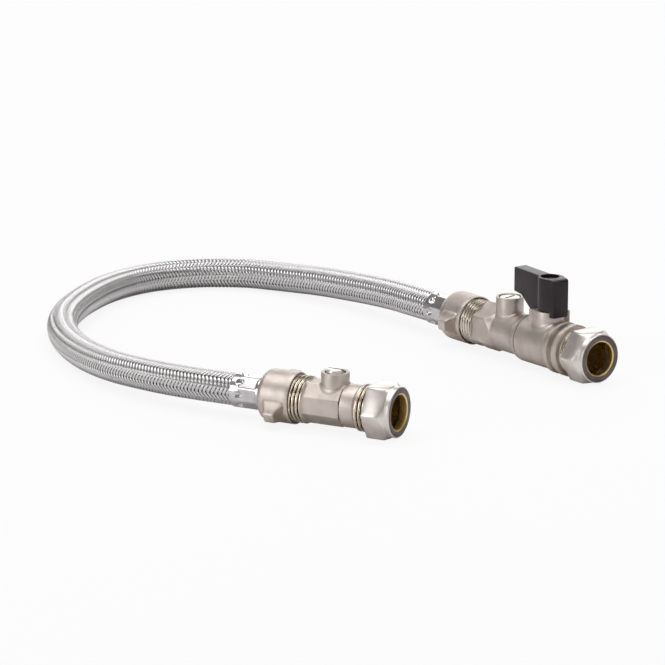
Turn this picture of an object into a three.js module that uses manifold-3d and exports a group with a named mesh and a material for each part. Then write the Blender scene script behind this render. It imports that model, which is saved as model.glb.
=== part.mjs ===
// Filling loop: a lever valve with two check valves and an isolating valve,
// both with compression ends for copper pipe, joined by a braided hose.
// Millimetres, +Z up. The valves lie on a bench with their flow axes level.
//
// Each valve is built along its own x axis: x = 0 is the outer face of the
// compression nut, x grows towards the hose, y points to the side that faces
// the front, and z is up.

import * as THREE from 'three';
import { mergeVertices } from 'three/addons/utils/BufferGeometryUtils.js';
import Module from 'manifold-3d';

const wasm = await Module();
wasm.setup();

// Shared clearances and roundness
const GAP = 0.3; // between pieces that seat on each other
const THREAD_GAP = 0.35; // radial, between plain male and female threads
const BIG_ROUND = 24; // sides of a body or nut
const INNER_ROUND = 16; // sides of a bore or inner piece
const SMALL_ROUND = 12; // sides of a screw, hole or dimple

// Copper pipe joint, the same on both valves
const PIPE_RADIUS = 7.5;
const PIPE_FIT = 0.2; // radial, pipe in its socket
const PIPE_STOP_STEP = 1.4; // ledge that stops the pipe
const SOCKET_DEPTH = 13;
const PIPE_THREAD_RADIUS = 10.45;
const THREAD_CHAMFER = 0.7;

// Compression nut
const NUT_FLATS = 23; // across flats
const NUT_LENGTH = 12.6;
const NUT_COLLAR_RADIUS = 11.2;
const NUT_COLLAR_LENGTH = 2.6;
const NUT_CORNER_CHAMFER = 2.2; // along the axis
const NUT_EDGE = 0.5;
const NUT_MOUTH_CHAMFER = 0.9;
const NUT_END_WALL = 3.4;
const NUT_CONE_LENGTH = 1.8; // inner cone that squeezes the olive
const NUT_TO_BODY = 3.6; // free space between the end wall and the body

// Olive
const OLIVE_LENGTH = 5.2;
const OLIVE_WALL = 1.15;
const OLIVE_EDGE_WALL = 0.3;
const OLIVE_CREST = 0.8; // length of the flat round its middle
const OLIVE_CONE_LENGTH = 3.5; // mouth of the body that takes the olive
const OLIVE_CONE_OPENING = 2.1;

// Ball valves: seats and stem sizes shared by both
const SEAT_WALL = 2.7; // along the axis
const SEAT_CLOSENESS = 4.2 / 7.3; // how far round the ball a seat reaches
const TANG_WIDTH = 2.4;
const TANG_DEPTH = 2.1;
const RING_WIRE = 0.45; // radius of an O-ring's cord
const GROOVE_WIDTH = 1.5;
const STEM_EDGE = 0.5;
const BOSS_FLARE = 1.6; // where a boss leaves the body
const BOSS_EDGE = 0.4;

// Isolating valve
const ISO_THREAD_LENGTH = 11.1;
const ISO_BARREL_RADIUS = 9.5;
const ISO_BARREL_LENGTH = 6.9;
const ISO_BALL_RADIUS = 7;
const ISO_BALL_BORE = 4;
const ISO_BALL_INSET = 6; // ball centre behind the seam
const ISO_BODY_FLATS = 18.2; // across the eight flats
const ISO_BODY_LENGTH = 18.1;
const ISO_SPIGOT_RADIUS = 8.2;
const ISO_SPIGOT_LENGTH = 0.8;
const ISO_OUTLET_RADIUS = 6.5;
const ISO_OUTLET_DEPTH = 6;
const ISO_BOSS_RADIUS = 6.2;
const ISO_BOSS_TOP = 14.4; // above the flow axis
const ISO_STEM_RADIUS = 4.05;
const ISO_STEM_RAISE = 2; // stem above its boss
const ISO_FLANGE_RADIUS = 4.9;
const FLANGE_HEIGHT = 1.2;
const SCREWDRIVER_SLOT = 1.2;
const SCREWDRIVER_DEPTH = 1.3;

// Lever valve
const LEVER_THREAD_LENGTH = 10;
const LEVER_COLLAR_RADIUS = 12; // widest ring, which rests on the bench
const LEVER_COLLAR_EDGE = 0.5;
const LEVER_COLLAR_LENGTH = 3.2;
const LEVER_GROOVE_RADIUS = 11.6;
const LEVER_GROOVE_LENGTH = 3.4;
const LEVER_SHOULDER_LENGTH = 2.4;
const LEVER_SHOULDER_TAPER = 2;
const LEVER_BARREL_RADIUS = 11.2;
const LEVER_BARREL_LENGTH = 19;
const LEVER_BALL_RADIUS = 8.1;
const LEVER_BALL_BORE = 5;
const LEVER_STEM_INSET = 12.2; // stem axis ahead of the seam
const LEVER_BOSS_RADIUS = 7.3;
const LEVER_BOSS_TOP = 16;
const LEVER_STEM_RADIUS = 4.3;
const LEVER_FLANGE_RADIUS = 5.5;
const STOP_RIB_REACH = 10.4; // outer end, from the stem axis
const STOP_RIB_WIDTH = 1.3;
const STOP_RIB_HEIGHT = 9;
const STOP_PLAY = 1; // degrees
const LEVER_SWING = 90; // degrees between the stops
const LEVER_REST = 6; // degrees short of fully open

// Lever and its screw
const DRIVE_RADIUS = 3.6; // rounded square on top of the stem
const DRIVE_FLATS = 5.4;
const DRIVE_HEIGHT = 7.8;
const HANDLE_TOP = 31.5; // above the flow axis
const HANDLE_TAIL = 23.8; // tail end from the stem axis
const HANDLE_TAIL_HEIGHT = 11.5;
const HANDLE_TAIL_WIDTH = 6.8;
const HANDLE_SLOPE_END = 10.6; // where the sloping underside meets the hub
const HANDLE_HUB_WIDTH = 12.4;
const HANDLE_HUB_REAR = 2.6;
const HANDLE_HUB_FLARE = 2.8;
const HANDLE_NOSE = 9;
const HANDLE_NOSE_WIDTH = 7.4;
const HANDLE_NOSE_CHAMFER = 3.6;
const HANDLE_NOSE_SLOPE = 1.4;
const HANDLE_TAB_DROP = 2.2; // stop tab below the top of the boss
const HANDLE_TAB_HALF_ANGLE = 36; // degrees
const HANDLE_RECESS_RADIUS = 4.4;
const HANDLE_WEB = 3.2; // material that the screw clamps
const SCREW_HEAD_RADIUS = 3.6;
const SCREW_HEAD_HEIGHT = 2.4;
const SCREW_HEAD_EDGE = 0.8;
const CROSS_REACH = 2; // cross recess in the head
const CROSS_WIDTH = 0.9;
const CROSS_DEPTH = 1.2;
const SCREW_RADIUS = 1.7;
const SCREW_REACH = 5.8; // thread in the stem

// Check valve body
const CHECK_COLLAR_LENGTH = 0.6; // as wide as the lever valve's barrel
const CHECK_TAPER_LENGTH = 4.6;
const CHECK_BARREL_RADIUS = 9.7;
const CHECK_BARREL_LENGTH = 22.6;
const CHECK_FLATS = 19.9; // across the six flats
const CHECK_FLATS_LENGTH = 8.2;
const CHECK_FLATS_RUNOUT = 4; // where the corners run into the barrel
const CHECK_SPIGOT_RADIUS = 9;
const CHECK_PORT_RADIUS = 6;
const CHECK_PORT_LENGTH = 0.5; // ledge past the seam that stops the first cartridge
const CHECK_BORE_RADIUS = 8.2;

// Check valve cartridges
const CARTRIDGE_LENGTH = 10.5;
const CARTRIDGE_WALL = 1.3;
const CARTRIDGE_END_WALL = 1.4;
const CARTRIDGE_PORT_RADIUS = 4;
const POPPET_RADIUS = 5.2;
const POPPET_DISC = 1.1;
const POPPET_NOSE_RADIUS = 2.6;
const POPPET_STEM_RADIUS = 1;
const POPPET_SEAL = 0.9;
const SPIDER_THICKNESS = 1.6;
const SPIDER_HUB_RADIUS = 2.1;
const SPIDER_ARM_WIDTH = 1.4;
const SPRING_RADIUS = 2.5;
const SPRING_WIRE = 0.3;
const SPRING_TURNS = 3.5;
const SPACER_WALL = 1.2;
const SPACER_MARGIN = 1.8; // either side of the test port
const CLIP_HEIGHT = 1.2;
const CLIP_REACH = 0.5; // into its groove, past the bore
const CLIP_OPENING = 5;

// Test plug between the two cartridges
const PLUG_BOSS_RADIUS = 6.4;
const PLUG_BOSS_TOP = 16.6;
const PLUG_RADIUS = 4.4;
const PLUG_LENGTH = 3.9;
const PLUG_SEAL_HEIGHT = 0.9;
const PLUG_SEAL_BORE = 2.4;
const PLUG_PORT_RADIUS = 2;
const PLUG_SLOT_REACH = 3.5;
const PLUG_SLOT_ANGLE = 100; // degrees from the flow axis

// Union between a valve and the hose
const HOSE_THREAD_RADIUS = 10.48;
const ISO_HOSE_THREAD_LENGTH = 12.4;
const LEVER_HOSE_THREAD_LENGTH = 14.6;
const WING_GRIP = 6.6; // thread inside the wing nut
const WASHER_THICKNESS = 1.8;
const WASHER_BORE = 5;
const TAIL_BORE = 3.9;
const TAIL_RADIUS = 5.3;
const TAIL_FLANGE_RADIUS = 9.7;
const TAIL_FLANGE_THICKNESS = 1.5;
const WING_RADIUS = 11.5;
const WING_BACK_WALL = 1.8;
const WING_DOME_LENGTH = 3.2;
const WING_DOME_END_RADIUS = 8.8;
const WING_RIM_CHAMFER = 0.35;
const LUG_REACH = 15.2;
const LUG_ROOT = 8; // radius at which a lug is widest
const LUG_ROOT_HALF_WIDTH = 5;
const LUG_TIP_HALF_WIDTH = 1.9;
const LUG_FRONT = [ // [station behind the rim, radius], from the ring out to the tip
  [1.4, 10.9],
  [3, 12],
  [4.3, 13.4],
  [4.9, LUG_REACH - 0.7],
  [5.5, LUG_REACH],
];
const LUG_BACK = [
  [10, LUG_REACH],
  [10.7, LUG_REACH - 0.7],
  [12.8, 9],
];
const ISO_LUG_TILT = 27; // degrees that the front lug points down
const LEVER_LUG_TILT = 6;
const FERRULE_LENGTH = 14.6;
const FERRULE_RADIUS = 7.6;
const FERRULE_FLATS = 14.3; // across the eight crimped flats
const FERRULE_CRIMP_LENGTH = 8.6;
const FERRULE_LIP = 1.4;
const FERRULE_EDGE = 0.3;
const DIMPLE_RADIUS = 0.95;
const DIMPLE_DEPTH = 0.45;
const CRIMPS = 8;

// Hose
const HOSE_RADIUS = 7.2;
const HOSE_SIDES = 10;
const HOSE_STEPS = 60;

// Where the two nut faces stand on the bench, and how far each valve is turned
const ISO_FACE = [-13, -85.6];
const ISO_TURN = 27.2; // degrees
const LEVER_FACE = [78.6, -0.8];
const LEVER_TURN = 51.8;
const ISO_HEIGHT = NUT_FLATS / 2; // its flow axis above the bench
const LEVER_HEIGHT = LEVER_COLLAR_RADIUS;

// The hose lies on the bench in one wide loop and rises to both unions
const HOSE_ROUTE = [
  [-84.1, -49.1, 11.5],
  [-94.8, -43.5, 11.5],
  [-108, -34.6, 11],
  [-119, -25.6, 10.5],
  [-129.9, -14.7, 9.8],
  [-140.8, -1.4, 8.9],
  [-151.1, 15.8, 8],
  [-158.3, 31.4, 7.5],
  [-163.5, 46, 7.4],
  [-167.1, 61.4, 7.4],
  [-168.7, 76.8, 7.4],
  [-168.1, 92.8, 7.4],
  [-165.1, 109.3, 7.4],
  [-160, 125.8, 7.4],
  [-152.8, 142.3, 7.4],
  [-142.3, 157.3, 7.4],
  [-129.9, 167.8, 7.4],
  [-118.2, 173.2, 7.4],
  [-106.4, 176, 7.4],
  [-94.6, 176.2, 7.4],
  [-82.8, 174.2, 7.5],
  [-70.8, 169.1, 7.6],
  [-59, 162.3, 8],
  [-47.3, 153.5, 8.8],
  [-35.8, 142.6, 9.6],
  [-24.3, 130.6, 10.5],
  [-13, 117.3, 11.3],
  [-0.6, 99.8, 12],
  [6.4, 91, 12],
];

// Finishes
const NICKEL = { color: 0xc8beb6, roughness: 0.36, metalness: 0.9 };
const NUT_NICKEL = { color: 0xcec5bd, roughness: 0.3, metalness: 0.9 };
const BRASS = { color: 0xb08d3e, roughness: 0.35, metalness: 0.9 };
const CHROME = { color: 0xd9d9dc, roughness: 0.12, metalness: 1 };
const STEEL = { color: 0xcfd0d2, roughness: 0.22, metalness: 1 };
const BRAID = { color: 0xb4b4b6, roughness: 0.4, metalness: 0.8 };
const BLACK_PLASTIC = { color: 0x3e343a, roughness: 0.5, metalness: 0 };
const WHITE_PLASTIC = { color: 0xe6e4dc, roughness: 0.5, metalness: 0 };
const PTFE = { color: 0xf2f1ec, roughness: 0.6, metalness: 0 };
const RUBBER = { color: 0x1e1e20, roughness: 0.8, metalness: 0 };
const FIBRE = { color: 0x2f3a38, roughness: 0.85, metalness: 0 };

const radians = THREE.MathUtils.degToRad;

// Turns a closed geometry into a solid that can be joined and cut
function solidOf(geometry) {
  const bare = geometry.clone();
  bare.deleteAttribute('normal');
  bare.deleteAttribute('uv');
  const merged = mergeVertices(bare, 1e-4);
  const index = merged.index.array;
  const triangles = [];
  for (let i = 0; i < index.length; i += 3) {
    const [a, b, c] = index.slice(i, i + 3);
    if (a !== b && b !== c && c !== a) triangles.push(a, b, c);
  }
  return new wasm.Manifold(new wasm.Mesh({
    numProp: 3,
    vertProperties: new Float32Array(merged.attributes.position.array),
    triVerts: new Uint32Array(triangles),
  }));
}

// Turns a finished solid back into a geometry
function geometryOf(solid) {
  const { vertProperties, triVerts } = solid.getMesh();
  const geometry = new THREE.BufferGeometry();
  geometry.setAttribute('position', new THREE.BufferAttribute(vertProperties, 3));
  geometry.setIndex(new THREE.BufferAttribute(triVerts, 1));
  geometry.computeVertexNormals();
  return geometry;
}

// Adds one named piece to a group
function piece(group, name, solid, finish) {
  const mesh = new THREE.Mesh(geometryOf(solid), new THREE.MeshStandardMaterial(finish));
  mesh.name = name;
  group.add(mesh);
}

// Revolves [station, radius] points; a profile off the axis is closed into a ring
function revolve(profile, sides) {
  const points = profile.map(([station, radius]) => new THREE.Vector2(radius, station));
  if (THREE.ShapeUtils.area(points) < 0) points.reverse();
  if (points[0].x > 0) points.push(points[0].clone());
  return new THREE.LatheGeometry(points, sides);
}

// A piece turned about the flow axis
function turned(profile, sides = BIG_ROUND) {
  return solidOf(revolve(profile, sides).rotateZ(-Math.PI / 2));
}

// A piece turned about a vertical axis that stands at a station
function upright(profile, station = 0, sides = INNER_ROUND) {
  return solidOf(revolve(profile, sides).rotateX(Math.PI / 2).translate(station, 0, 0));
}

// A plain cylinder on the flow axis
function rod(from, to, radius, sides = INNER_ROUND) {
  return turned([[from, 0], [from, radius], [to, radius], [to, 0]], sides);
}

// A plain vertical cylinder
function post(from, to, radius, station = 0, sides = INNER_ROUND) {
  return upright([[from, 0], [from, radius], [to, radius], [to, 0]], station, sides);
}

// A box from its low corner to its high corner
function block(low, high) {
  const size = high.map((value, i) => value - low[i]);
  const middle = high.map((value, i) => (value + low[i]) / 2);
  return solidOf(new THREE.BoxGeometry(...size).translate(...middle));
}

// A shape extruded upwards from one height to another
function plate(points, from, to) {
  const shape = new THREE.Shape(points.map(([x, y]) => new THREE.Vector2(x, y)));
  const geometry = new THREE.ExtrudeGeometry(shape, { depth: to - from, bevelEnabled: false });
  return solidOf(geometry.translate(0, 0, from));
}

// A shape drawn in x and z, extruded evenly to both sides of y = 0
function slab(points, width) {
  const shape = new THREE.Shape(points.map(([x, z]) => new THREE.Vector2(x, z)));
  const geometry = new THREE.ExtrudeGeometry(shape, { depth: width, bevelEnabled: false });
  return solidOf(geometry.translate(0, 0, -width / 2).rotateX(Math.PI / 2));
}

// A bar with flat sides along the flow axis, with a flat at the bottom
function flatSided(count, acrossFlats, from, to) {
  const corner = acrossFlats / 2 / Math.cos(Math.PI / count);
  const points = Array.from({ length: count }, (_, i) => {
    const angle = -Math.PI / 2 + ((i + 0.5) * 2 * Math.PI) / count;
    return new THREE.Vector2(corner * Math.cos(angle), corner * Math.sin(angle));
  });
  const geometry = new THREE.ExtrudeGeometry(new THREE.Shape(points), {
    depth: to - from,
    bevelEnabled: false,
  });
  const along = new THREE.Matrix4().makeBasis(
    new THREE.Vector3(0, 1, 0),
    new THREE.Vector3(0, 0, 1),
    new THREE.Vector3(1, 0, 0),
  );
  return solidOf(geometry.applyMatrix4(along).translate(from, 0, 0));
}

// Stations that the compression joint gives to each valve body
const BODY_START = NUT_END_WALL + NUT_TO_BODY;
const SOCKET_RADIUS = PIPE_RADIUS + PIPE_FIT;
const SOCKET_END = BODY_START + SOCKET_DEPTH;
const NUT_CORNER_RADIUS = NUT_FLATS / 2 / Math.cos(Math.PI / 6);

// Outside of a body's pipe thread, up to the end of that thread
function pipeThreadOutside(threadLength) {
  return [
    [BODY_START, PIPE_THREAD_RADIUS - THREAD_CHAMFER],
    [BODY_START + THREAD_CHAMFER, PIPE_THREAD_RADIUS],
    [BODY_START + threadLength, PIPE_THREAD_RADIUS],
  ];
}

// Inside of the pipe socket, from the port back out to the olive's cone
function socketInside(portRadius) {
  return [
    [SOCKET_END + PIPE_STOP_STEP, portRadius],
    [SOCKET_END, SOCKET_RADIUS - PIPE_STOP_STEP],
    [SOCKET_END, SOCKET_RADIUS],
    [BODY_START + OLIVE_CONE_LENGTH, SOCKET_RADIUS],
    [BODY_START, SOCKET_RADIUS + OLIVE_CONE_OPENING],
  ];
}

function compressionNut() {
  const collarEnd = NUT_COLLAR_LENGTH + NUT_CORNER_CHAMFER;
  const hexagon = flatSided(6, NUT_FLATS, NUT_COLLAR_LENGTH, NUT_LENGTH);
  const cornerCut = turned([
    [NUT_COLLAR_LENGTH, 0],
    [NUT_COLLAR_LENGTH, NUT_COLLAR_RADIUS],
    [collarEnd, NUT_CORNER_RADIUS],
    [NUT_LENGTH - NUT_EDGE, NUT_CORNER_RADIUS],
    [NUT_LENGTH, NUT_CORNER_RADIUS - NUT_EDGE],
    [NUT_LENGTH, 0],
  ]);
  const collar = turned([
    [0, 0],
    [0, NUT_COLLAR_RADIUS - NUT_EDGE],
    [NUT_EDGE, NUT_COLLAR_RADIUS],
    [collarEnd, NUT_COLLAR_RADIUS],
    [collarEnd, 0],
  ]);
  const threadRadius = PIPE_THREAD_RADIUS + THREAD_GAP;
  const bore = turned([
    [-1, 0],
    [-1, SOCKET_RADIUS + NUT_MOUTH_CHAMFER],
    [0, SOCKET_RADIUS + NUT_MOUTH_CHAMFER],
    [NUT_MOUTH_CHAMFER, SOCKET_RADIUS],
    [NUT_END_WALL, SOCKET_RADIUS],
    [NUT_END_WALL + NUT_CONE_LENGTH, threadRadius],
    [NUT_LENGTH + 1, threadRadius],
    [NUT_LENGTH + 1, 0],
  ]);
  return hexagon.intersect(cornerCut).add(collar).subtract(bore);
}

function olive() {
  const inner = PIPE_RADIUS + PIPE_FIT / 2;
  const middle = BODY_START + GAP;
  const [start, end] = [middle - OLIVE_LENGTH / 2, middle + OLIVE_LENGTH / 2];
  return turned([
    [start, inner],
    [start, inner + OLIVE_EDGE_WALL],
    [middle - OLIVE_CREST / 2, inner + OLIVE_WALL],
    [middle + OLIVE_CREST / 2, inner + OLIVE_WALL],
    [end, inner + OLIVE_EDGE_WALL],
    [end, inner],
  ]);
}

// Ball with its bore along the flow axis and the stem's slot across its top
function ball(radius, bore, station) {
  const sphere = new THREE.SphereGeometry(radius, 20, 12).rotateX(Math.PI / 2);
  const slotHalf = TANG_WIDTH / 2 + GAP;
  return solidOf(sphere)
    .subtract(rod(-radius - 1, radius + 1, bore))
    .subtract(block([-slotHalf, -radius, radius - TANG_DEPTH], [slotHalf, radius, radius + 1]))
    .translate([station, 0, 0]);
}

// Seat ring; side is -1 towards the nut and 1 towards the hose
function seat(ballRadius, port, side, station) {
  const touch = ballRadius + GAP;
  const startAngle = Math.acos(SEAT_CLOSENESS);
  const endAngle = Math.asin(port / touch);
  const steps = 3;
  const face = Array.from({ length: steps + 1 }, (_, i) => {
    const angle = startAngle + ((endAngle - startAngle) * i) / steps;
    return [station + side * touch * Math.cos(angle), touch * Math.sin(angle)];
  });
  const inner = station + side * touch * SEAT_CLOSENESS;
  const outer = inner + side * SEAT_WALL;
  const rim = ballRadius + GAP;
  return turned([[inner, rim], ...face, [outer, port], [outer, rim]], INNER_ROUND);
}

// O-ring round an upright stem
function stemRing(stemRadius, height, station) {
  const ring = new THREE.TorusGeometry(stemRadius - RING_WIRE, RING_WIRE, 5, INNER_ROUND);
  return solidOf(ring.translate(station, 0, height));
}

// Groove that an O-ring lies in, as a stretch of a stem's profile
function grooveAt(height, stemRadius) {
  const bottom = stemRadius - 2 * RING_WIRE - GAP;
  const [low, high] = [height - GROOVE_WIDTH / 2, height + GROOVE_WIDTH / 2];
  return [[low, stemRadius], [low, bottom], [high, bottom], [high, stemRadius]];
}

// Outside radius of an upright boss, flared where it leaves the body
function boss(station, radius, top, root) {
  return upright([
    [0, 0],
    [0, radius + BOSS_FLARE],
    [root, radius + BOSS_FLARE],
    [root + BOSS_FLARE, radius],
    [top - BOSS_EDGE, radius],
    [top, radius - BOSS_EDGE],
    [top, 0],
  ], station, BIG_ROUND);
}

// Isolating valve
function isolatingValve() {
  const valve = new THREE.Group();
  const threadEnd = BODY_START + ISO_THREAD_LENGTH;
  const seam = threadEnd + ISO_BARREL_LENGTH;
  const centre = seam + ISO_BALL_INSET;
  const bodyEnd = seam + ISO_BODY_LENGTH;
  const hoseEnd = bodyEnd + ISO_HOSE_THREAD_LENGTH;
  const port = ISO_BALL_BORE + GAP;
  const touch = ISO_BALL_RADIUS + GAP;
  const seatBack = touch * SEAT_CLOSENESS + SEAT_WALL;
  const pocket = touch + GAP;
  const spigotEnd = seam + ISO_SPIGOT_LENGTH;

  piece(valve, 'isolator_nut', compressionNut(), NUT_NICKEL);
  piece(valve, 'isolator_olive', olive(), BRASS);

  const endPiece = turned([
    ...pipeThreadOutside(ISO_THREAD_LENGTH),
    [threadEnd, ISO_BARREL_RADIUS],
    [seam - GAP / 2, ISO_BARREL_RADIUS],
    [seam - GAP / 2, ISO_SPIGOT_RADIUS],
    [spigotEnd, ISO_SPIGOT_RADIUS],
    [spigotEnd, pocket],
    [centre - seatBack - GAP, pocket],
    [centre - seatBack - GAP, port],
    ...socketInside(port),
  ]);
  piece(valve, 'isolator_end_piece', endPiece, NICKEL);

  const bossRoot = ISO_BODY_FLATS / 2 - 1;
  const overhang = rod(0, seam + GAP / 2, ISO_BARREL_RADIUS + GAP, BIG_ROUND);
  const tower = boss(centre, ISO_BOSS_RADIUS, ISO_BOSS_TOP, bossRoot);
  const hoseThread = turned([
    [bodyEnd - 1, 0],
    [bodyEnd - 1, HOSE_THREAD_RADIUS],
    [hoseEnd - THREAD_CHAMFER, HOSE_THREAD_RADIUS],
    [hoseEnd, HOSE_THREAD_RADIUS - THREAD_CHAMFER],
    [hoseEnd, 0],
  ]);
  const inside = turned([
    [seam - 1, 0],
    [seam - 1, ISO_SPIGOT_RADIUS + GAP],
    [spigotEnd + GAP, ISO_SPIGOT_RADIUS + GAP],
    [spigotEnd + GAP, pocket],
    [centre + seatBack + GAP, pocket],
    [centre + seatBack + GAP, port],
    [hoseEnd - ISO_OUTLET_DEPTH, port],
    [hoseEnd - ISO_OUTLET_DEPTH, ISO_OUTLET_RADIUS],
    [hoseEnd + 1, ISO_OUTLET_RADIUS],
    [hoseEnd + 1, 0],
  ], INNER_ROUND);
  const flangeLow = ISO_BALL_RADIUS + GAP;
  const flangeHigh = flangeLow + FLANGE_HEIGHT;
  const body = flatSided(8, ISO_BODY_FLATS, seam + GAP / 2, bodyEnd)
    .add(tower)
    .subtract(overhang)
    .add(hoseThread)
    .subtract(inside)
    .subtract(post(0, flangeHigh + GAP, ISO_FLANGE_RADIUS + GAP, centre))
    .subtract(post(0, ISO_BOSS_TOP + 1, ISO_STEM_RADIUS + GAP, centre));
  piece(valve, 'isolator_body', body, NICKEL);

  const spindle = new THREE.Group();
  piece(spindle, 'isolator_ball', ball(ISO_BALL_RADIUS, ISO_BALL_BORE, centre), CHROME);
  const stemTop = ISO_BOSS_TOP + ISO_STEM_RAISE;
  const ringHeight = (flangeHigh + ISO_BOSS_TOP) / 2;
  const tangLow = ISO_BALL_RADIUS - TANG_DEPTH + GAP;
  const tangHalf = TANG_WIDTH / 2;
  const stem = upright([
    [flangeLow, 0],
    [flangeLow, ISO_FLANGE_RADIUS],
    [flangeHigh, ISO_FLANGE_RADIUS],
    [flangeHigh, ISO_STEM_RADIUS],
    ...grooveAt(ringHeight, ISO_STEM_RADIUS),
    [stemTop - STEM_EDGE, ISO_STEM_RADIUS],
    [stemTop, ISO_STEM_RADIUS - STEM_EDGE],
    [stemTop, 0],
  ], centre);
  const tang = block(
    [centre - tangHalf, -ISO_STEM_RADIUS + 1, tangLow],
    [centre + tangHalf, ISO_STEM_RADIUS - 1, flangeLow + 0.5],
  );
  const slot = block(
    [centre - ISO_STEM_RADIUS - 1, -SCREWDRIVER_SLOT / 2, stemTop - SCREWDRIVER_DEPTH],
    [centre + ISO_STEM_RADIUS + 1, SCREWDRIVER_SLOT / 2, stemTop + 1],
  );
  piece(spindle, 'isolator_stem', stem.add(tang).subtract(slot), NICKEL);
  piece(spindle, 'isolator_stem_ring', stemRing(ISO_STEM_RADIUS, ringHeight, centre), RUBBER);
  valve.add(spindle);

  const seats = { isolator_seat_inlet: -1, isolator_seat_outlet: 1 };
  for (const [name, side] of Object.entries(seats)) {
    piece(valve, name, seat(ISO_BALL_RADIUS, port, side, centre), PTFE);
  }

  valve.add(hoseUnion('isolator', hoseEnd, ISO_LUG_TILT));
  return valve;
}

// The lever: a tapering tail, a hub over the stem and a stop tab at the nose
function leverHandle(driveBase, driveTop) {
  const underside = driveBase + GAP;
  const tabLow = LEVER_BOSS_TOP - HANDLE_TAB_DROP;
  const side = slab([
    [HANDLE_TAIL, HANDLE_TOP],
    [-HANDLE_NOSE + HANDLE_NOSE_SLOPE, HANDLE_TOP],
    [-HANDLE_NOSE, HANDLE_TOP - HANDLE_NOSE_SLOPE],
    [-HANDLE_NOSE, tabLow],
    [0, tabLow],
    [0, underside],
    [HANDLE_SLOPE_END, underside],
    [HANDLE_TAIL, HANDLE_TOP - HANDLE_TAIL_HEIGHT],
  ], HANDLE_HUB_WIDTH + 2);
  const [tail, hub, nose] = [HANDLE_TAIL_WIDTH / 2, HANDLE_HUB_WIDTH / 2, HANDLE_NOSE_WIDTH / 2];
  const flareStart = HANDLE_HUB_REAR + HANDLE_HUB_FLARE;
  const noseStart = HANDLE_NOSE - HANDLE_NOSE_CHAMFER;
  const plan = plate([
    [-HANDLE_NOSE, -nose],
    [-noseStart, -hub],
    [HANDLE_HUB_REAR, -hub],
    [flareStart, -tail],
    [HANDLE_TAIL, -tail],
    [HANDLE_TAIL, tail],
    [flareStart, tail],
    [HANDLE_HUB_REAR, hub],
    [-noseStart, hub],
    [-HANDLE_NOSE, nose],
  ], tabLow - 1, HANDLE_TOP + 1);

  // Below the hub only a sector of the nose is left, and it runs round the boss
  const reach = HANDLE_NOSE + 4;
  const spread = reach * Math.tan(radians(HANDLE_TAB_HALF_ANGLE));
  const sector = plate([[0, 0], [-reach, -spread], [-reach, spread]].reverse(), tabLow - 1, underside);
  const aboveHub = block([-reach, -reach, underside], [HANDLE_TAIL + 1, reach, HANDLE_TOP + 1]);
  const bossRoom = post(tabLow - 1, underside, LEVER_BOSS_RADIUS + GAP, 0, 28);

  const webTop = driveTop + GAP + HANDLE_WEB;
  const socket = post(underside - 1, driveTop + GAP, DRIVE_RADIUS + GAP).intersect(block(
    [-reach, -DRIVE_FLATS / 2 - GAP, underside - 1],
    [reach, DRIVE_FLATS / 2 + GAP, driveTop + GAP],
  ));
  return side.intersect(plan)
    .intersect(aboveHub.add(sector))
    .subtract(bossRoom)
    .subtract(socket)
    .subtract(post(driveTop, webTop + 1, SCREW_RADIUS + GAP, 0, SMALL_ROUND))
    .subtract(post(webTop, HANDLE_TOP + 1, HANDLE_RECESS_RADIUS));
}

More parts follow.
